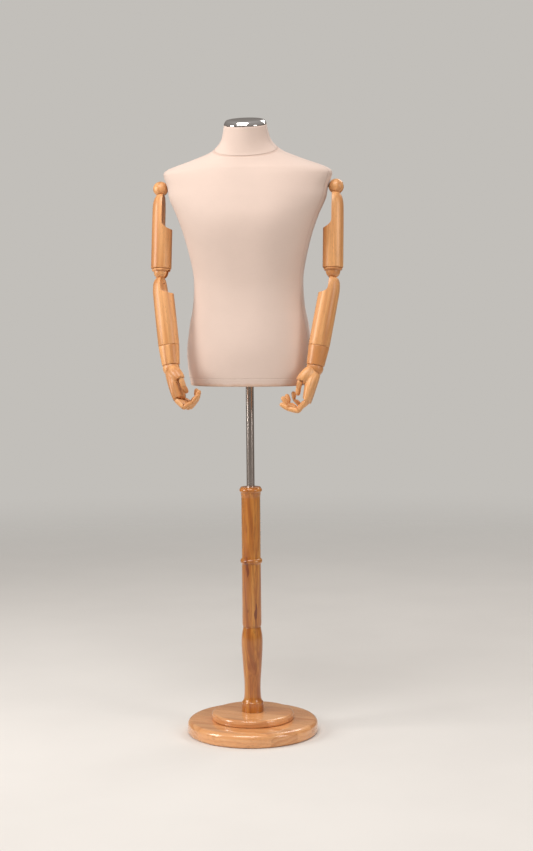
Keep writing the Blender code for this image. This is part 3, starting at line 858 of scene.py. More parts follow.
def neck_seam_path(rings, level, above):
    """The line that runs a little above the neck seam, all the way round."""
    path = []
    for column in range(COVER_SIDES):
        heights = [neck_seam_height(ring[column], rings[level]) - above for ring in rings]
        lower = max(i for i in range(len(rings) - 1) if heights[i] <= 0)
        share = -heights[lower] / (heights[lower + 1] - heights[lower])
        path.append(rings[lower][column].lerp(rings[lower + 1][column], share))
    return path


def torso_cover():
    """The stretched cloth, as a closed sheet, with its seams stored for the finish."""
    rings, seam_level = cover_rings()
    normals = surface_normals(rings)
    outer = [
        [p + n * body_shape(p) for p, n in zip(ring, row)]
        for ring, row in zip(rings, normals)
    ]
    normals = surface_normals(outer)
    inner = [
        [p - n * COVER_THICKNESS for p, n in zip(ring, row)] for ring, row in zip(outer, normals)
    ]
    inner = inner[:: COVER_STEPS // 2]
    points, faces = stack([*outer, *inner[::-1]], closed_loop=True)

    seam_columns = [
        round(COVER_SIDES * angle / 360) for angle in (360 - SIDE_SEAM_DEG, 180 + SIDE_SEAM_DEG)
    ]
    seams = {"neck_seam": [], "side_seam": [], "armhole_seam": []}
    for ring in outer:
        for i, point in enumerate(ring):
            seams["neck_seam"].append(neck_seam_height(point, outer[seam_level]))
            nearest = min(abs(i - column) for column in seam_columns)
            closest = min(((point - ring[column]).length for column in seam_columns))
            seams["side_seam"].append(closest if nearest else 0.0)
            seams["armhole_seam"].append(armhole_distance(point))
    spare = len(points) - len(seams["neck_seam"])
    piece = new_object("torso_cover", points, faces)
    piece.data.shade_smooth()
    for name, values in seams.items():
        stored = piece.data.attributes.new(name, "FLOAT", "POINT")
        stored.data.foreach_set("value", values + [1.0] * spare)
    return piece, outer, seam_level


def new_group(name, inputs, output):
    """A geometry node group with the given sockets, ready for nodes between its two ends."""
    tree = bpy.data.node_groups.new(name, "GeometryNodeTree")
    for label, kind, default in inputs:
        socket = tree.interface.new_socket(label, in_out="INPUT", socket_type=f"NodeSocket{kind}")
        if default is not None:
            socket.default_value = default
    tree.interface.new_socket(output, in_out="OUTPUT", socket_type="NodeSocketGeometry")
    make = tree.nodes.new
    return tree, make, make("NodeGroupInput"), make("NodeGroupOutput")


def connect(tree, wires):
    """Links each (source node, output, target node, input)."""
    for source, output, target, socket in wires:
        tree.links.new(source.outputs[output], target.inputs[socket])


def stitch_tree():
    """Geometry nodes: small thread stitches at an even spacing along the edges of the input
    mesh.
    """
    tree, make, given, result = new_group(
        "stitch_line",
        (
            ("Seam", "Geometry", None),
            ("Spacing", "Float", 0.004),
            ("Stitch length", "Float", 0.0026),
            ("Thread radius", "Float", 0.0003),
            ("Thread finish", "Material", None),
        ),
        "Stitches",
    )
    path, walk = make("GeometryNodeMeshToCurve"), make("GeometryNodeCurveToPoints")
    walk.mode = "LENGTH"
    stitch, size = make("GeometryNodeMeshUVSphere"), make("ShaderNodeCombineXYZ")
    stitch.inputs["Segments"].default_value = 6
    stitch.inputs["Rings"].default_value = 4
    stitch.inputs["Radius"].default_value = 1.0
    half = make("ShaderNodeMath")
    half.operation = "MULTIPLY"
    half.inputs[1].default_value = 0.5
    sew, real, paint = (
        make("GeometryNodeInstanceOnPoints"),
        make("GeometryNodeRealizeInstances"),
        make("GeometryNodeSetMaterial"),
    )
    connect(tree, (
        (given, "Seam", path, "Mesh"),
        (path, "Curve", walk, "Curve"),
        (given, "Spacing", walk, "Length"),
        (given, "Stitch length", half, 0),
        (given, "Thread radius", size, "X"),
        (given, "Thread radius", size, "Y"),
        (half, 0, size, "Z"),
        (walk, "Points", sew, "Points"),
        (stitch, "Mesh", sew, "Instance"),
        (walk, "Rotation", sew, "Rotation"),
        (size, "Vector", sew, "Scale"),
        (sew, "Instances", real, "Geometry"),
        (real, "Geometry", paint, "Geometry"),
        (given, "Thread finish", paint, "Material"),
        (paint, "Geometry", result, "Stitches"),
    ))
    return tree


def grow(piece, tree, values):
    """Runs a node tree on a piece with its named inputs set, and keeps the plain mesh."""
    step = piece.modifiers.new("pattern", "NODES")
    step.node_group = tree
    for item in tree.interface.items_tree:
        if item.in_out == "INPUT" and item.name in values:
            step[item.identifier] = values[item.name]
    settle(piece)
    return face_outwards(piece)


def seam_loop(name, points):
    """A closed chain of edges for stitches to follow."""
    mesh = bpy.data.meshes.new(name)
    count = len(points)
    mesh.from_pydata([tuple(p) for p in points], [(i, (i + 1) % count) for i in range(count)], [])
    piece = bpy.data.objects.new(name, mesh)
    bpy.context.collection.objects.link(piece)
    return piece


def neck_cap():
    piece = turned(
        "neck_cap",
        [
            (0, 0.0145),
            (0.030, 0.0142),
            *smooth_curve(
                [(0.0440, 0.0135), (0.0500, 0.0120), (0.0532, 0.0092), (0.0552, 0.0060)], 4
            ),
            (0.0568, 0.0026),
            (0.0568, 0.0006),
            (0.0455, 0.0006),
            (0.0440, -0.0120),
            (0, -0.0120),
        ],
        96,
        ease=0.0009,
    )
    neck_z, _, _, neck_y, _, neck_tilt = TORSO_STATIONS[-1]
    tilt = Matrix.Rotation(math.radians(neck_tilt), 4, "X")
    piece.data.transform(Matrix.Translation((0, neck_y, neck_z)) @ tilt)
    return piece


# ---------------------------------------------------------------- stand


def base_discs():
    hole = BOLT_R + GAP
    recess_r = 0.0095
    recess_z = 0.0085
    lower = turned(
        "base_lower_disc",
        [
            (hole, BASE_TOP_Z),
            *arc((BASE_R - 0.014, BASE_TOP_Z - 0.014), 0.014, 90, 0, 12),
            *arc((BASE_R - 0.008, 0.008), 0.008, 0, -90, 8),
            (recess_r, 0),
            (recess_r, recess_z),
            (hole, recess_z),
        ],
        160,
        ease=0,
    )
    plinth_low = BASE_TOP_Z + GAP
    upper = turned(
        "base_upper_disc",
        [
            (hole, PLINTH_TOP_Z),
            *arc((PLINTH_R - 0.008, PLINTH_TOP_Z - 0.008), 0.008, 90, 0, 10),
            *arc((PLINTH_R - 0.004, plinth_low + 0.004), 0.004, 0, -90, 5),
            (hole, plinth_low),
        ],
        128,
        ease=0,
    )
    return lower, upper


def post_lengths():
    hole = BOLT_R + GAP
    foot = PLINTH_TOP_Z + GAP
    vase = smooth_curve(
        [
            (0.0243, POST_SPLIT_Z),
            (0.0262, 0.2818),
            (0.0283, 0.2690),
            (0.0293, 0.2519),
            (0.0288, 0.2327),
            (0.0272, 0.2072),
            (0.0248, 0.1699),
            (0.0228, 0.1433),
            (0.0223, 0.1198),
            (0.0230, 0.1010),
            (0.0246, 0.0920),
            (0.0272, 0.0860),
        ],
        4,
    )
    vase += [(0.0286, 0.0846), (0.0296, 0.0828), (0.0299, 0.0700), (0.0301, foot)]
    lower = turned(
        "post_lower",
        [(0, BORE_BOTTOM_Z), (BORE_R, BORE_BOTTOM_Z), (BORE_R, POST_SPLIT_Z), *vase, (hole, foot),
        (hole, 0.080),
         (0, 0.080)],
        72,
    )
    upper_low = POST_SPLIT_Z + GAP
    upper = turned(
        "post_upper",
        [
            (BORE_R, POST_TOP_Z),
            (0.0275, POST_TOP_Z),
            *arc((0.0238, POST_TOP_Z - 0.0085), 0.0070, 60, -62, 14),
            *smooth_curve([(0.0268, 0.6600), (0.0260, 0.6555), (0.0257, 0.6505)], 3),
            (0.0257, 0.4905),
            *arc((0.0215, 0.4765), 0.0086, 60, -60, 16),
            (0.0260, 0.4625),
            (0.0264, 0.3045),
            (0.0258, 0.2980),
            (0.0243, upper_low),
            (BORE_R, upper_low),
        ],
        72,
    )
    cut(upper, rod("lock_hole", (0, 0.005, KNOB_Z), (0, 0.05, KNOB_Z), STUD_R + GAP))
    return lower, face_outwards(upper)


def pole():
    wall = POLE_R - POLE_WALL
    profile = [
        (wall, POLE_TOP_Z), (POLE_R, POLE_TOP_Z), (POLE_R, POLE_BOTTOM_Z), (wall, POLE_BOTTOM_Z)
    ]
    return turned("pole", profile, 64, ease=0.0004)


def knob():
    piece = turned(
        "height_knob",
        [(0, 0.0348), (0.010, 0.0348), (0.0122, 0.0330), (0.0122, 0.0235), (0.0100, 0.0205),
        (STUD_R, 0.0205),
         (STUD_R, 0.0), (0, 0.0)],
        48,
    )
    return piece


def rib_tree():
    """Geometry nodes: grip ribs at an even spacing round a knob."""
    tree, make, given, result = new_group(
        "grip_ribs",
        (
            ("Knob", "Geometry", None),
            ("Ribs", "Int", 24),
            ("Ring radius", "Float", 0.0121),
            ("Rib radius", "Float", 0.0006),
            ("Rib length", "Float", 0.008),
            ("Height", "Float", 0.028),
            ("Finish", "Material", None),
        ),
        "Knob and ribs",
    )
    ring, rib = make("GeometryNodeMeshCircle"), make("GeometryNodeMeshCylinder")
    rib.inputs["Vertices"].default_value = 8
    lift, up = make("GeometryNodeTransform"), make("ShaderNodeCombineXYZ")
    spread, real = make("GeometryNodeInstanceOnPoints"), make("GeometryNodeRealizeInstances")
    both, paint = make("GeometryNodeJoinGeometry"), make("GeometryNodeSetMaterial")
    connect(tree, (
        (given, "Ribs", ring, "Vertices"),
        (given, "Ring radius", ring, "Radius"),
        (given, "Rib radius", rib, "Radius"),
        (given, "Rib length", rib, "Depth"),
        (given, "Height", up, "Z"),
        (ring, "Mesh", lift, "Geometry"),
        (up, "Vector", lift, "Translation"),
        (lift, "Geometry", spread, "Points"),
        (rib, "Mesh", spread, "Instance"),
        (given, "Knob", both, "Geometry"),
        (spread, "Instances", both, "Geometry"),
        (both, "Geometry", real, "Geometry"),
        (real, "Geometry", paint, "Geometry"),
        (given, "Finish", paint, "Material"),
        (paint, "Geometry", result, "Knob and ribs"),
    ))
    return tree


# ---------------------------------------------------------------- arms


def notch(axis_x, start_z, end_z, clear_z):
    """The half-lap that leaves the limb's outer half: a flat that runs down and curves out to
    the inner side.
    """
    run = start_z - end_z
    plane = axis_x + NOTCH_PLANE_X
    curve = [
        (plane - (NOTCH_REACH - 0.004) * (1 - math.cos(a)), start_z - run * math.sin(a))
        for a in (math.radians(5 * i) for i in range(16))
    ]
    outline = [
        (plane, clear_z), *curve, (plane - NOTCH_REACH, end_z), (plane - NOTCH_REACH, clear_z)
    ]
    return prism("notch", outline, -0.04, 0.04)


def tongue(radius, length):
    """The flat tenon on a limb's upper end, round about its pin."""
    half = TONGUE_THICKNESS / 2
    top = arc((0, 0), radius, 0, 180, 24)
    return prism("tongue", [*top, (-radius, -length), (radius, -length)], -half, half)


def pin_hole(reach):
    return rod("pin_hole", (0, -reach, 0), (0, reach, 0), PIN_R + GAP)


def slot(low, high):
    half = TONGUE_THICKNESS / 2 + GAP
    return box("slot", (low[0], -half, low[1]), (high[0], half, high[1]))


def limb(name, profile, axis_x, notch_span, tongue_r, joint_r):
    """A turned wooden limb with its half-lap, its tenon and the bore for the next spigot."""
    piece = turned(name, profile, 64, centre=(axis_x, 0), ease=0.0015)
    top = profile[0][1] + 0.01
    bottom = profile[-1][1]
    cut(piece, notch(axis_x, *notch_span, top), ball("seat", (0, 0, 0), joint_r + 3 * GAP, 48, 24))
    join(piece, tongue(tongue_r, -profile[0][1] + 0.014))
    bore_top = bottom + SPIGOT_LENGTH + 0.002
    cut(
        piece,
        pin_hole(0.04),
        rod("bore", (axis_x, 0, bottom - 0.01), (axis_x, 0, bore_top), SPIGOT_R + GAP, 32),
    )
    return face_outwards(piece)


def shoulder_pieces():
    sphere = ball("shoulder_ball", (0, 0, 0), BALL_R, 64, 32)
    room = SHOULDER_TONGUE_R + 2 * GAP
    stud_bore = rod("stud_bore", (-0.03, 0, 0), (-0.0120, 0, 0), STUD_R + GAP)
    cut(sphere, slot((-room, -0.03), (0.03, room)), pin_hole(PIN_HOLE_REACH), stud_bore)
    face_outwards(sphere)
    return sphere, rod("shoulder_pin", (0, -PIN_REACH, 0), (0, PIN_REACH, 0), PIN_R)


def upper_arm():
    end = -UPPER_ARM_LENGTH
    shoulder = smooth_curve(
        [(0.0165, -0.0170), (0.0205, -0.0235), (0.0240, -0.0320), (0.0261, -0.0430),
        (0.0270, -0.0580),
         (ARM_R, -0.1000)],
        4,
    )
    profile = [(0, -0.0170), *shoulder, (ARM_R, end + 0.0030), (ARM_R - 0.0010, end), (0, end)]
    return limb("upper_arm", profile, ARM_AXIS_X, (-0.092, -0.1135), SHOULDER_TONGUE_R, BALL_R)


def forearm():
    end = -FOREARM_LENGTH
    elbow = smooth_curve(
        [(0.0170, -0.0165), (0.0215, -0.0230), (0.0248, -0.0320), (0.0268, -0.0450),
        (0.0277, -0.0600),
         (0.0282, -0.1300)],
        4,
    )
    profile = [(0, -0.0165), *elbow, (0.0282, end + 0.0025), (0.0275, end), (0, end)]
    return limb("forearm", profile, 0.0, (-0.047, -0.063), ELBOW_TONGUE_R, ELBOW_R)


def elbow_pieces():
    top = ELBOW_DROP - 0.0005
    piece = turned(
        "elbow_ball",
        [
            (0, top + SPIGOT_LENGTH),
            (SPIGOT_R, top + SPIGOT_LENGTH),
            (SPIGOT_R, top),
            (0.0242, top),
            (0.0250, top - 0.0015),
            (0.0250, top - 0.0040),
            (0.0236, top - 0.0055),
            *arc((0, 0), ELBOW_R, 6, -80, 20),
            (0, -ELBOW_R),
        ],
        56,
    )
    room = ELBOW_TONGUE_R + 2 * GAP
    cut(piece, slot((-0.03, -0.03), (room, room)), pin_hole(PIN_HOLE_REACH))
    face_outwards(piece)
    return piece, rod("elbow_pin", (0, -PIN_REACH, 0), (0, PIN_REACH, 0), PIN_R)


def cuff():
    end = -CUFF_LENGTH
    piece = turned(
        "wrist_cuff",
        [
            (0, SPIGOT_LENGTH),
            (SPIGOT_R, SPIGOT_LENGTH),
            (SPIGOT_R, 0),
            (0.0272, 0),
            (0.0279, -0.0015),
            (CUFF_END_R, end + 0.0010),
            (CUFF_END_R - 0.0008, end),
            (0, end),
        ],
        64,
    )
    cut(
        piece,
        rod("bore", (0, 0, end - 0.01), (0, 0, end + SPIGOT_LENGTH + 0.002), SPIGOT_R + GAP, 32),
    )
    return face_outwards(piece)


def wrist_disc():
    top = WRIST_DROP - 0.0005
    angle = math.degrees(math.asin(top / WRIST_R))
    return turned(
        "wrist_disc",
        [
            (0, top + SPIGOT_LENGTH),
            (SPIGOT_R, top + SPIGOT_LENGTH),
            (SPIGOT_R, top),
            *arc((0, 0), WRIST_R, angle, -78, 20),
            (0, -WRIST_R),
        ],
        56,
    )


# ---------------------------------------------------------------- hands


def palm():
    """The hand's body: a flattened taper melted into the thumb's mound, cut for the wrist and
    for each knuckle.
    """
    sections = smooth_curve(
        [
            (-0.0055, 0.0188, 0.0228),
            (-0.0180, 0.0190, 0.0270),
            (-0.0350, 0.0178, 0.0335),
            (-0.0550, 0.0158, 0.0385),
            (-0.0750, 0.0138, 0.0400),
            (-0.0900, 0.0118, 0.0390),
            (-0.0970, 0.0100, 0.0370),
        ],
        3,
    )
    rings = []
    for z, half_thickness, half_width in sections:
        rise = 0.45 * max(0.0, 1 - (-0.0055 - z) / 0.012)
        ring = superellipse((z, half_thickness, half_width, 0, 2.3, 0), 48)
        rings.append([Vector((p.x, p.y, p.z - rise * p.x)) for p in ring])
    ends = [[Vector((0, 0, sections[0][0]))], [Vector((0, 0, sections[-1][0]))]]
    points, faces = stack([ends[0], *rings, ends[1]])
    piece = face_outwards(new_object("palm", points, faces))

    start = Vector((-0.0080, -0.0130, -0.0100))
    mound = turned(
        "mound",
        [(0, -0.013),
        *smooth_curve([(0.0100, -0.0105), (0.0148, -0.003), (0.0170, 0.012), (0.0160, 0.028),
         (0.0122, 0.043)], 4), (0, 0.046)],
        40,
        ease=0,
    )
    direction = THUMB_BASE - start
    mound.data.transform(
        Matrix.Translation(start) @ direction.to_track_quat("Z", "Y").to_matrix().to_4x4()
    )
    join(piece, mound)
    melt(piece, 0.0011, 46)

    below_thumb = box("thumb_end", (-0.07, -0.07, -0.09), (-0.0175, 0.02, THUMB_BASE.z + 0.0012))
    thumb_seat = ball("thumb_seat", THUMB_BASE, THUMB_R * SEAT_SHARE, 32, 16)
    cut(piece, below_thumb, thumb_seat, ball("wrist_seat", (0, 0, 0), WRIST_R + 4 * GAP, 48, 24))
    for _, knuckle_y, knuckle_z, radius, _ in FINGERS:
        cut(piece, ball("seat", (0, knuckle_y, knuckle_z), radius * SEAT_SHARE, 32, 16))
    for low_y, high_y, knuckle_z in KNUCKLE_ROWS:
        wedge = box("miter", (-0.045, low_y, -0.03), (0.0004, high_y, 0.0))
        wedge.data.transform(
            Matrix.Translation((0, 0, knuckle_z)) @ Matrix.Rotation(PALM_MITER, 4, "Y")
        )
        cut(piece, wedge, box("row_end", (-0.04, low_y, -0.12), (0.04, high_y, knuckle_z - 0.0022)))
    return face_outwards(piece)


def melt(piece, voxel, rounds):
    """Remeshes and smooths a joined shape so that its parts flow together, then trims it
    slightly.
    """
    step = piece.modifiers.new("remesh", "REMESH")
    step.mode = "VOXEL"
    step.voxel_size = voxel
    smooth = piece.modifiers.new("smooth", "SMOOTH")
    smooth.factor = 0.5
    smooth.iterations = rounds
    thin = piece.modifiers.new("thin", "DISPLACE")
    thin.mid_level = 0.0
    thin.strength = -MELT_TRIM
    return settle(piece)


def phalanx(name, length, radius, next_radius, sides=28):
    """One finger segment, from its own joint at the origin down -Z to the next joint, bending
    towards -X.
    """
    last = next_radius is None
    end_radius = radius * SEGMENT_TAPER if last else next_radius
    knuckle = radius * KNUCKLE_SHARE
    steps = 7
    rows = [
        (-knuckle * math.cos(1.25 * i / steps), knuckle * math.sin(1.25 * i / steps))
        for i in range(steps + 1)
    ]
    rows += [(length * 0.16, radius * 0.975), (length * 0.30, radius)]
    if last:
        crown = length - end_radius
        rows += [
            (crown + end_radius * math.sin(a), end_radius * math.cos(a))
            for a in (i * 0.19 for i in range(8))
        ]
        rows += [(length, 0.0)]
    else:
        seat = end_radius * SEAT_SHARE
        rims = [end_radius * share for share in (0.985, 0.93, 0.84, 0.70, 0.52, 0.32, 0.14)]
        rows += [(length - math.sqrt(seat**2 - rim**2), rim) for rim in rims] + [
            (length - seat, 0.0)
        ]
    rings = []
    for along, r in rows:
        ring = []
        for x, y, _ in circle(r, 0, sides):
            bend_side = max(-x, 0.0)
            depth = max(along, -knuckle + 2 * bend_side)
            if not last:
                depth = min(depth, length - bend_side * math.tan(FINGER_MITER) - GAP)
            ring.append(Vector((x, y, -depth)))
        rings.append(ring)
    points, faces = stack(rings)
    return face_outwards(new_object(name, points, faces))


def turn(location, degrees=0.0, axis="X"):
    return Matrix.Translation(location) @ Matrix.Rotation(math.radians(degrees), 4, axis)


def arm_frames(side):
    """The matrix of each of an arm's joints at rest, for a left arm."""
    pose = POSES[side]
    frames = {"shoulder": turn(SHOULDER, -pose["swing"])}
    elbow_at = (ARM_AXIS_X, 0, -UPPER_ARM_LENGTH - ELBOW_DROP)
    frames["elbow"] = frames["shoulder"] @ turn(elbow_at, pose["twist"], "Z")
    frames["forearm"] = frames["elbow"] @ turn((0, 0, 0), pose["elbow"], "Y")
    frames["cuff"] = frames["forearm"] @ turn((0, 0, -FOREARM_LENGTH - 0.0005))
    frames["wrist"] = frames["cuff"] @ turn((0, 0, -CUFF_LENGTH - WRIST_DROP))
    frames["hand"] = frames["wrist"] @ turn((0, 0, 0), pose["wrist"], "Y")
    for finger, knuckle_y, knuckle_z, _, lengths in FINGERS:
        parent = frames["hand"]
        at = (0, knuckle_y, knuckle_z)
        for segment, length, bend in zip(SEGMENTS, lengths, pose[finger]):
            parent = parent @ turn(at, bend, "Y")
            frames[f"{finger}_{segment}"] = parent
            at = (0, 0, -length)
    parent = frames["hand"]
    at = THUMB_BASE
    for segment, length, bend in zip(("proximal", "distal"), THUMB_LENGTHS, pose["thumb"]):
        parent = parent @ turn(at, bend, "X")
        frames[f"thumb_{segment}"] = parent
        at = (0, 0, -length)
    return frames


def place_on_arm(side, frames, piece, joint, node, body, finish="arm_wood"):
    matrix = frames[joint]
    if side == "right":
        matrix = MIRROR @ matrix
    name = f"{side}_{node}"
    fit_piece(piece, f"{name}_finished", f"{side}_{body}", finish, [name], matrix, side == "right")


def build_arm(side):
    frames = arm_frames(side)
    sphere, shoulder_pin = shoulder_pieces()
    elbow_ball, elbow_pin = elbow_pieces()
    for piece, joint, node, body, finish in (
        (sphere, "shoulder", "shoulder_ball", "shoulder", "arm_wood"),
        (shoulder_pin, "shoulder", "shoulder_pin", "shoulder", "brushed_steel"),
        (upper_arm(), "shoulder", "upper_arm", "upper_arm", "arm_wood"),
        (elbow_ball, "elbow", "elbow_ball", "elbow", "arm_wood"),
        (elbow_pin, "elbow", "elbow_pin", "elbow", "brushed_steel"),
        (forearm(), "forearm", "forearm", "forearm", "arm_wood"),
        (cuff(), "cuff", "wrist_cuff", "cuff", "arm_wood"),
        (wrist_disc(), "wrist", "wrist_disc", "wrist", "arm_wood"),
    ):
        place_on_arm(side, frames, piece, joint, node, body, finish)


def build_hand(side):
    frames = arm_frames(side)
    place_on_arm(side, frames, palm(), "hand", "palm", "hand")
    for finger, _, _, radius, lengths in FINGERS:
        for index, length in enumerate(lengths):
            label = f"{finger}_{SEGMENTS[index]}"
            thick = radius * SEGMENT_TAPER**index
            following = None if index == len(lengths) - 1 else thick * SEGMENT_TAPER
            place_on_arm(
                side, frames, phalanx("phalanx", length, thick, following), label, label, label
            )
    for index, length in enumerate(THUMB_LENGTHS):
        label = f"thumb_{SEGMENTS[index * 2]}"
        thick = THUMB_R * SEGMENT_TAPER**index
        following = None if index else thick * SEGMENT_TAPER
        piece = phalanx("phalanx", length, thick, following)
        piece.data.transform(Matrix.Rotation(math.radians(-90), 4, "Z"))
        place_on_arm(side, frames, piece, label, label, label)


# ---------------------------------------------------------------- settings and operators


def color_property(name, description, default):
    return bpy.props.FloatVectorProperty(
        name=name, description=description, default=default, subtype="COLOR", size=3, min=0, max=1
    )


class DressFormSettings(bpy.types.PropertyGroup):
    cloth_color: color_property("Cloth", "Colour of the torso's cloth", (0.715, 0.575, 0.505))
    arm_color: color_property("Arm wood", "Colour of the arms and hands", (0.74, 0.37, 0.145))
    post_color: color_property("Post wood", "Colour of the turned post", (0.46, 0.160, 0.022))
    base_color: color_property("Base wood", "Colour of the two round discs", (0.78, 0.40, 0.17))
    floor_color: color_property("Floor", "Colour of the floor and backdrop", (0.80, 0.79, 0.77))
    stitch_spacing: bpy.props.FloatProperty(
        name="Stitch spacing",
        description="Distance between stitches",
        default=0.0042,
        min=0.002,
        max=0.02,
        unit="LENGTH", precision=4,
    )
    grip_ribs: bpy.props.IntProperty(
        name="Grip ribs", description="Ribs round the height knob", default=28, min=8, max=60
    )


class DRESSFORM_OT_cover(bpy.types.Operator):
    """Make the stretched cloth cover with its seams, hem and stitches"""

    bl_idname = "dressform.cover"
    bl_label = "Cloth cover"

    def execute(self, context):
        form = context.scene.dress_form
        piece, rings, seam_level = torso_cover()
        fit_piece(piece, "torso_cover", "torso", "cover_cloth", ["fabric_cover"])
        tree = stitch_tree()
        normals = surface_normals(rings)
        neck_line = neck_seam_path(rings, seam_level, 0.0030)
        hem_line = [p + n * 0.00015 for p, n in zip(rings[3], normals[3])]
        for name, path in (("neck_stitches", neck_line), ("hem_stitches", hem_line)):
            thread = grow(
                seam_loop(name, path),
                tree,
                {"Spacing": form.stitch_spacing, "Thread finish": material("cover_cloth")},
            )
            thread.name = name
            thread.data.name = name
            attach(thread, "torso")
        return {"FINISHED"}


class DRESSFORM_OT_neck_cap(bpy.types.Operator):
    """Make the polished cap on the neck"""

    bl_idname = "dressform.neck_cap"
    bl_label = "Neck cap"

    def execute(self, context):
        fit_piece(neck_cap(), "neck_cap_finished", "torso", "polished_chrome", ["neck_cap"])
        return {"FINISHED"}


class DRESSFORM_OT_base(bpy.types.Operator):
    """Make the two round discs of the base"""

    bl_idname = "dressform.base"
    bl_label = "Base discs"

    def execute(self, context):
        lower, upper = base_discs()
        fit_piece(lower, "base_lower_disc_finished", "stand", "base_wood", ["base_lower_disc"])
        fit_piece(upper, "base_upper_disc_finished", "stand", "base_wood", ["base_upper_disc"])
        return {"FINISHED"}


class DRESSFORM_OT_post(bpy.types.Operator):
    """Make the turned post in its two lengths, and the steel pole"""

    bl_idname = "dressform.post"
    bl_label = "Post and pole"

    def execute(self, context):
        lower, upper = post_lengths()
        fit_piece(lower, "post_lower_finished", "stand", "post_wood", ["post_lower"])
        fit_piece(upper, "post_upper_finished", "stand", "post_wood", ["post_upper"])
        fit_piece(pole(), "pole_finished", "pole", "brushed_steel", ["pole"])
        return {"FINISHED"}


class DRESSFORM_OT_knob(bpy.types.Operator):
    """Make the ribbed knob that locks the pole's height"""

    bl_idname = "dressform.knob"
    bl_label = "Height knob"

    def execute(self, context):
        form = context.scene.dress_form
        piece = grow(
            knob(), rib_tree(), {"Ribs": form.grip_ribs, "Finish": material("black_plastic")}
        )
        at = Matrix.Translation((0, POLE_R + GAP, KNOB_Z)) @ Matrix.Rotation(
            math.radians(-90), 4, "X"
        )
        piece.data.transform(at)
        fit_piece(piece, "height_knob_finished", "height_screw", "black_plastic", ["height_knob"])
        return {"FINISHED"}


class DRESSFORM_OT_arms(bpy.types.Operator):
    """Make the turned pieces of both arms, from shoulder ball to wrist"""

    bl_idname = "dressform.arms"
    bl_label = "Arms"

    def execute(self, context):
        for side in ("left", "right"):
            build_arm(side)
        return {"FINISHED"}


class DRESSFORM_OT_hands(bpy.types.Operator):
    """Make both hands, with every finger segment"""

    bl_idname = "dressform.hands"
    bl_label = "Hands"

    def execute(self, context):
        for side in ("left", "right"):
            build_hand(side)
        return {"FINISHED"}


class DRESSFORM_OT_hardware(bpy.types.Operator):
    """Finish the pieces that keep their plain solids: shell, board, socket, bolt and arm mounts"""

    bl_idname = "dressform.hardware"
    bl_label = "Hidden hardware"

    def execute(self, context):
        slots = {part["node"]: part["material_slot"] for part in frame["record"]["subparts"]}
        for name, node in frame["nodes"].items():
            if node.hide_render:
                continue
            if name not in slots:
                raise RuntimeError(f"no finish is known for {name}")
            node.data.materials.clear()
            node.data.materials.append(material(slots[name]))
        return {"FINISHED"}


def area_light(name, place, aim, size, power, color):
    lamp = bpy.data.lights.new(name, "AREA")
    lamp.shape = "RECTANGLE"
    lamp.size, lamp.size_y = size
    lamp.energy = power
    lamp.color = color
    light = bpy.data.objects.new(name, lamp)
    light.location = place
    light.rotation_euler = (Vector(aim) - Vector(place)).to_track_quat("-Z", "Y").to_euler()
    bpy.context.collection.objects.link(light)


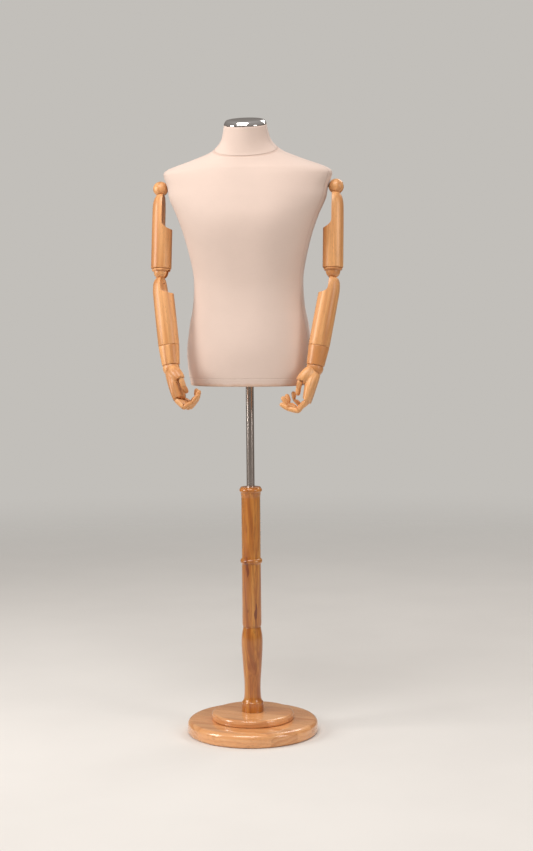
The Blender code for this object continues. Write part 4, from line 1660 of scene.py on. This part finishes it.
class DRESSFORM_OT_stage(bpy.types.Operator):
    """Make the round floor, the lights, the surroundings and the camera"""

    bl_idname = "dressform.stage"
    bl_label = "Stage"

    def execute(self, context):
        rim = [tuple(p) for p in circle(FLOOR_R, 0, 64)]
        floor = new_object("floor", rim, [tuple(range(len(rim)))])
        floor.data.materials.append(material("stage_paint"))

        area_light("top_softbox", (-0.3, -1.4, 3.3), (0, 0, 1.2), (1.8, 1.4), 50, (1.0, 0.96, 0.93))
        area_light(
            "left_softbox", (-3.0, -1.3, 1.9), (0, 0, 1.0), (1.2, 1.8), 66, (1.0, 0.94, 0.88)
        )
        area_light("rear_softbox", (1.4, 2.6, 3.6), (0, 0, 1.1), (1.8, 1.4), 34, (1.0, 0.96, 0.93))
        area_light(
            "right_softbox", (2.9, -1.5, 1.9), (0, 0, 1.0), (1.0, 1.8), 30, (1.0, 0.93, 0.87)
        )

        world = bpy.data.worlds.new("room")
        world.use_nodes = True
        context.scene.world = world
        nodes = world.node_tree.nodes
        direction = nodes.new("ShaderNodeTexCoord")
        split = nodes.new("ShaderNodeSeparateXYZ")
        ramp = nodes.new("ShaderNodeValToRGB")
        Finish.set_stops(
            ramp.color_ramp,
            (
                (0.0, (0.45, 0.40, 0.36)),
                (0.48, (0.30, 0.25, 0.22)),
                (0.56, (0.42, 0.37, 0.33)),
                (1.0, (0.9, 0.86, 0.82)),
            ),
        )
        half_up = nodes.new("ShaderNodeMapRange")
        half_up.inputs[1].default_value = -1.0
        room = nodes["Background"]
        room.inputs["Strength"].default_value = AMBIENT_STRENGTH
        backdrop, seen, choose = (
            nodes.new("ShaderNodeBackground"),
            nodes.new("ShaderNodeLightPath"),
            nodes.new("ShaderNodeMixShader"),
        )
        backdrop.inputs["Color"].default_value = BACKDROP_COLOR
        wires = (
            (direction, "Generated", split, 0),
            (split, "Z", half_up, "Value"),
            (half_up, 0, ramp, "Fac"),
            (ramp, "Color", room, "Color"),
            (seen, "Is Camera Ray", choose, 0),
            (room, 0, choose, 1),
            (backdrop, 0, choose, 2),
            (choose, 0, nodes["World Output"], "Surface"),
        )
        connect(world.node_tree, wires)

        camera = bpy.data.cameras.new("camera")
        camera.sensor_fit = "VERTICAL"
        camera.sensor_height = SENSOR_HEIGHT
        camera.lens = CAMERA_LENS
        viewer = bpy.data.objects.new("camera", camera)
        azimuth = math.radians(CAMERA_AZIMUTH)
        viewer.location = (
            CAMERA_DISTANCE * math.sin(azimuth),
            -CAMERA_DISTANCE * math.cos(azimuth),
            CAMERA_HEIGHT,
        )
        facing = Matrix.Rotation(azimuth - math.radians(CAMERA_AIM), 4, "Z")
        pitch = Matrix.Rotation(math.radians(90 - CAMERA_PITCH), 4, "X")
        roll = Matrix.Rotation(math.radians(CAMERA_ROLL), 4, "Z")
        viewer.matrix_world = Matrix.Translation(viewer.location) @ facing @ pitch @ roll
        context.collection.objects.link(viewer)
        context.scene.camera = viewer
        context.scene.view_settings.view_transform = "Standard"
        return {"FINISHED"}


OPERATORS = (
    DRESSFORM_OT_stage,
    DRESSFORM_OT_cover,
    DRESSFORM_OT_neck_cap,
    DRESSFORM_OT_base,
    DRESSFORM_OT_post,
    DRESSFORM_OT_knob,
    DRESSFORM_OT_arms,
    DRESSFORM_OT_hands,
    DRESSFORM_OT_hardware,
)


class DRESSFORM_PT_panel(bpy.types.Panel):
    """The dress form's settings and pieces"""

    bl_idname = "DRESSFORM_PT_panel"
    bl_label = "Dress form"
    bl_space_type = "VIEW_3D"
    bl_region_type = "UI"
    bl_category = "Dress form"

    def draw(self, context):
        form = context.scene.dress_form
        for name in DressFormSettings.__annotations__:
            self.layout.prop(form, name)
        for operator in OPERATORS:
            self.layout.operator(operator.bl_idname)


CLASSES = (DressFormSettings, *OPERATORS, DRESSFORM_PT_panel)


def register():
    for item in CLASSES:
        bpy.utils.register_class(item)
    bpy.types.Scene.dress_form = bpy.props.PointerProperty(type=DressFormSettings)


def unregister():
    del bpy.types.Scene.dress_form
    for item in reversed(CLASSES):
        bpy.utils.unregister_class(item)


def main():
    register()
    for name in ("stage", "cover", "neck_cap", "base", "post", "knob", "arms", "hands", "hardware"):
        getattr(bpy.ops.dressform, name)()


if __name__ == "__main__":
    main()
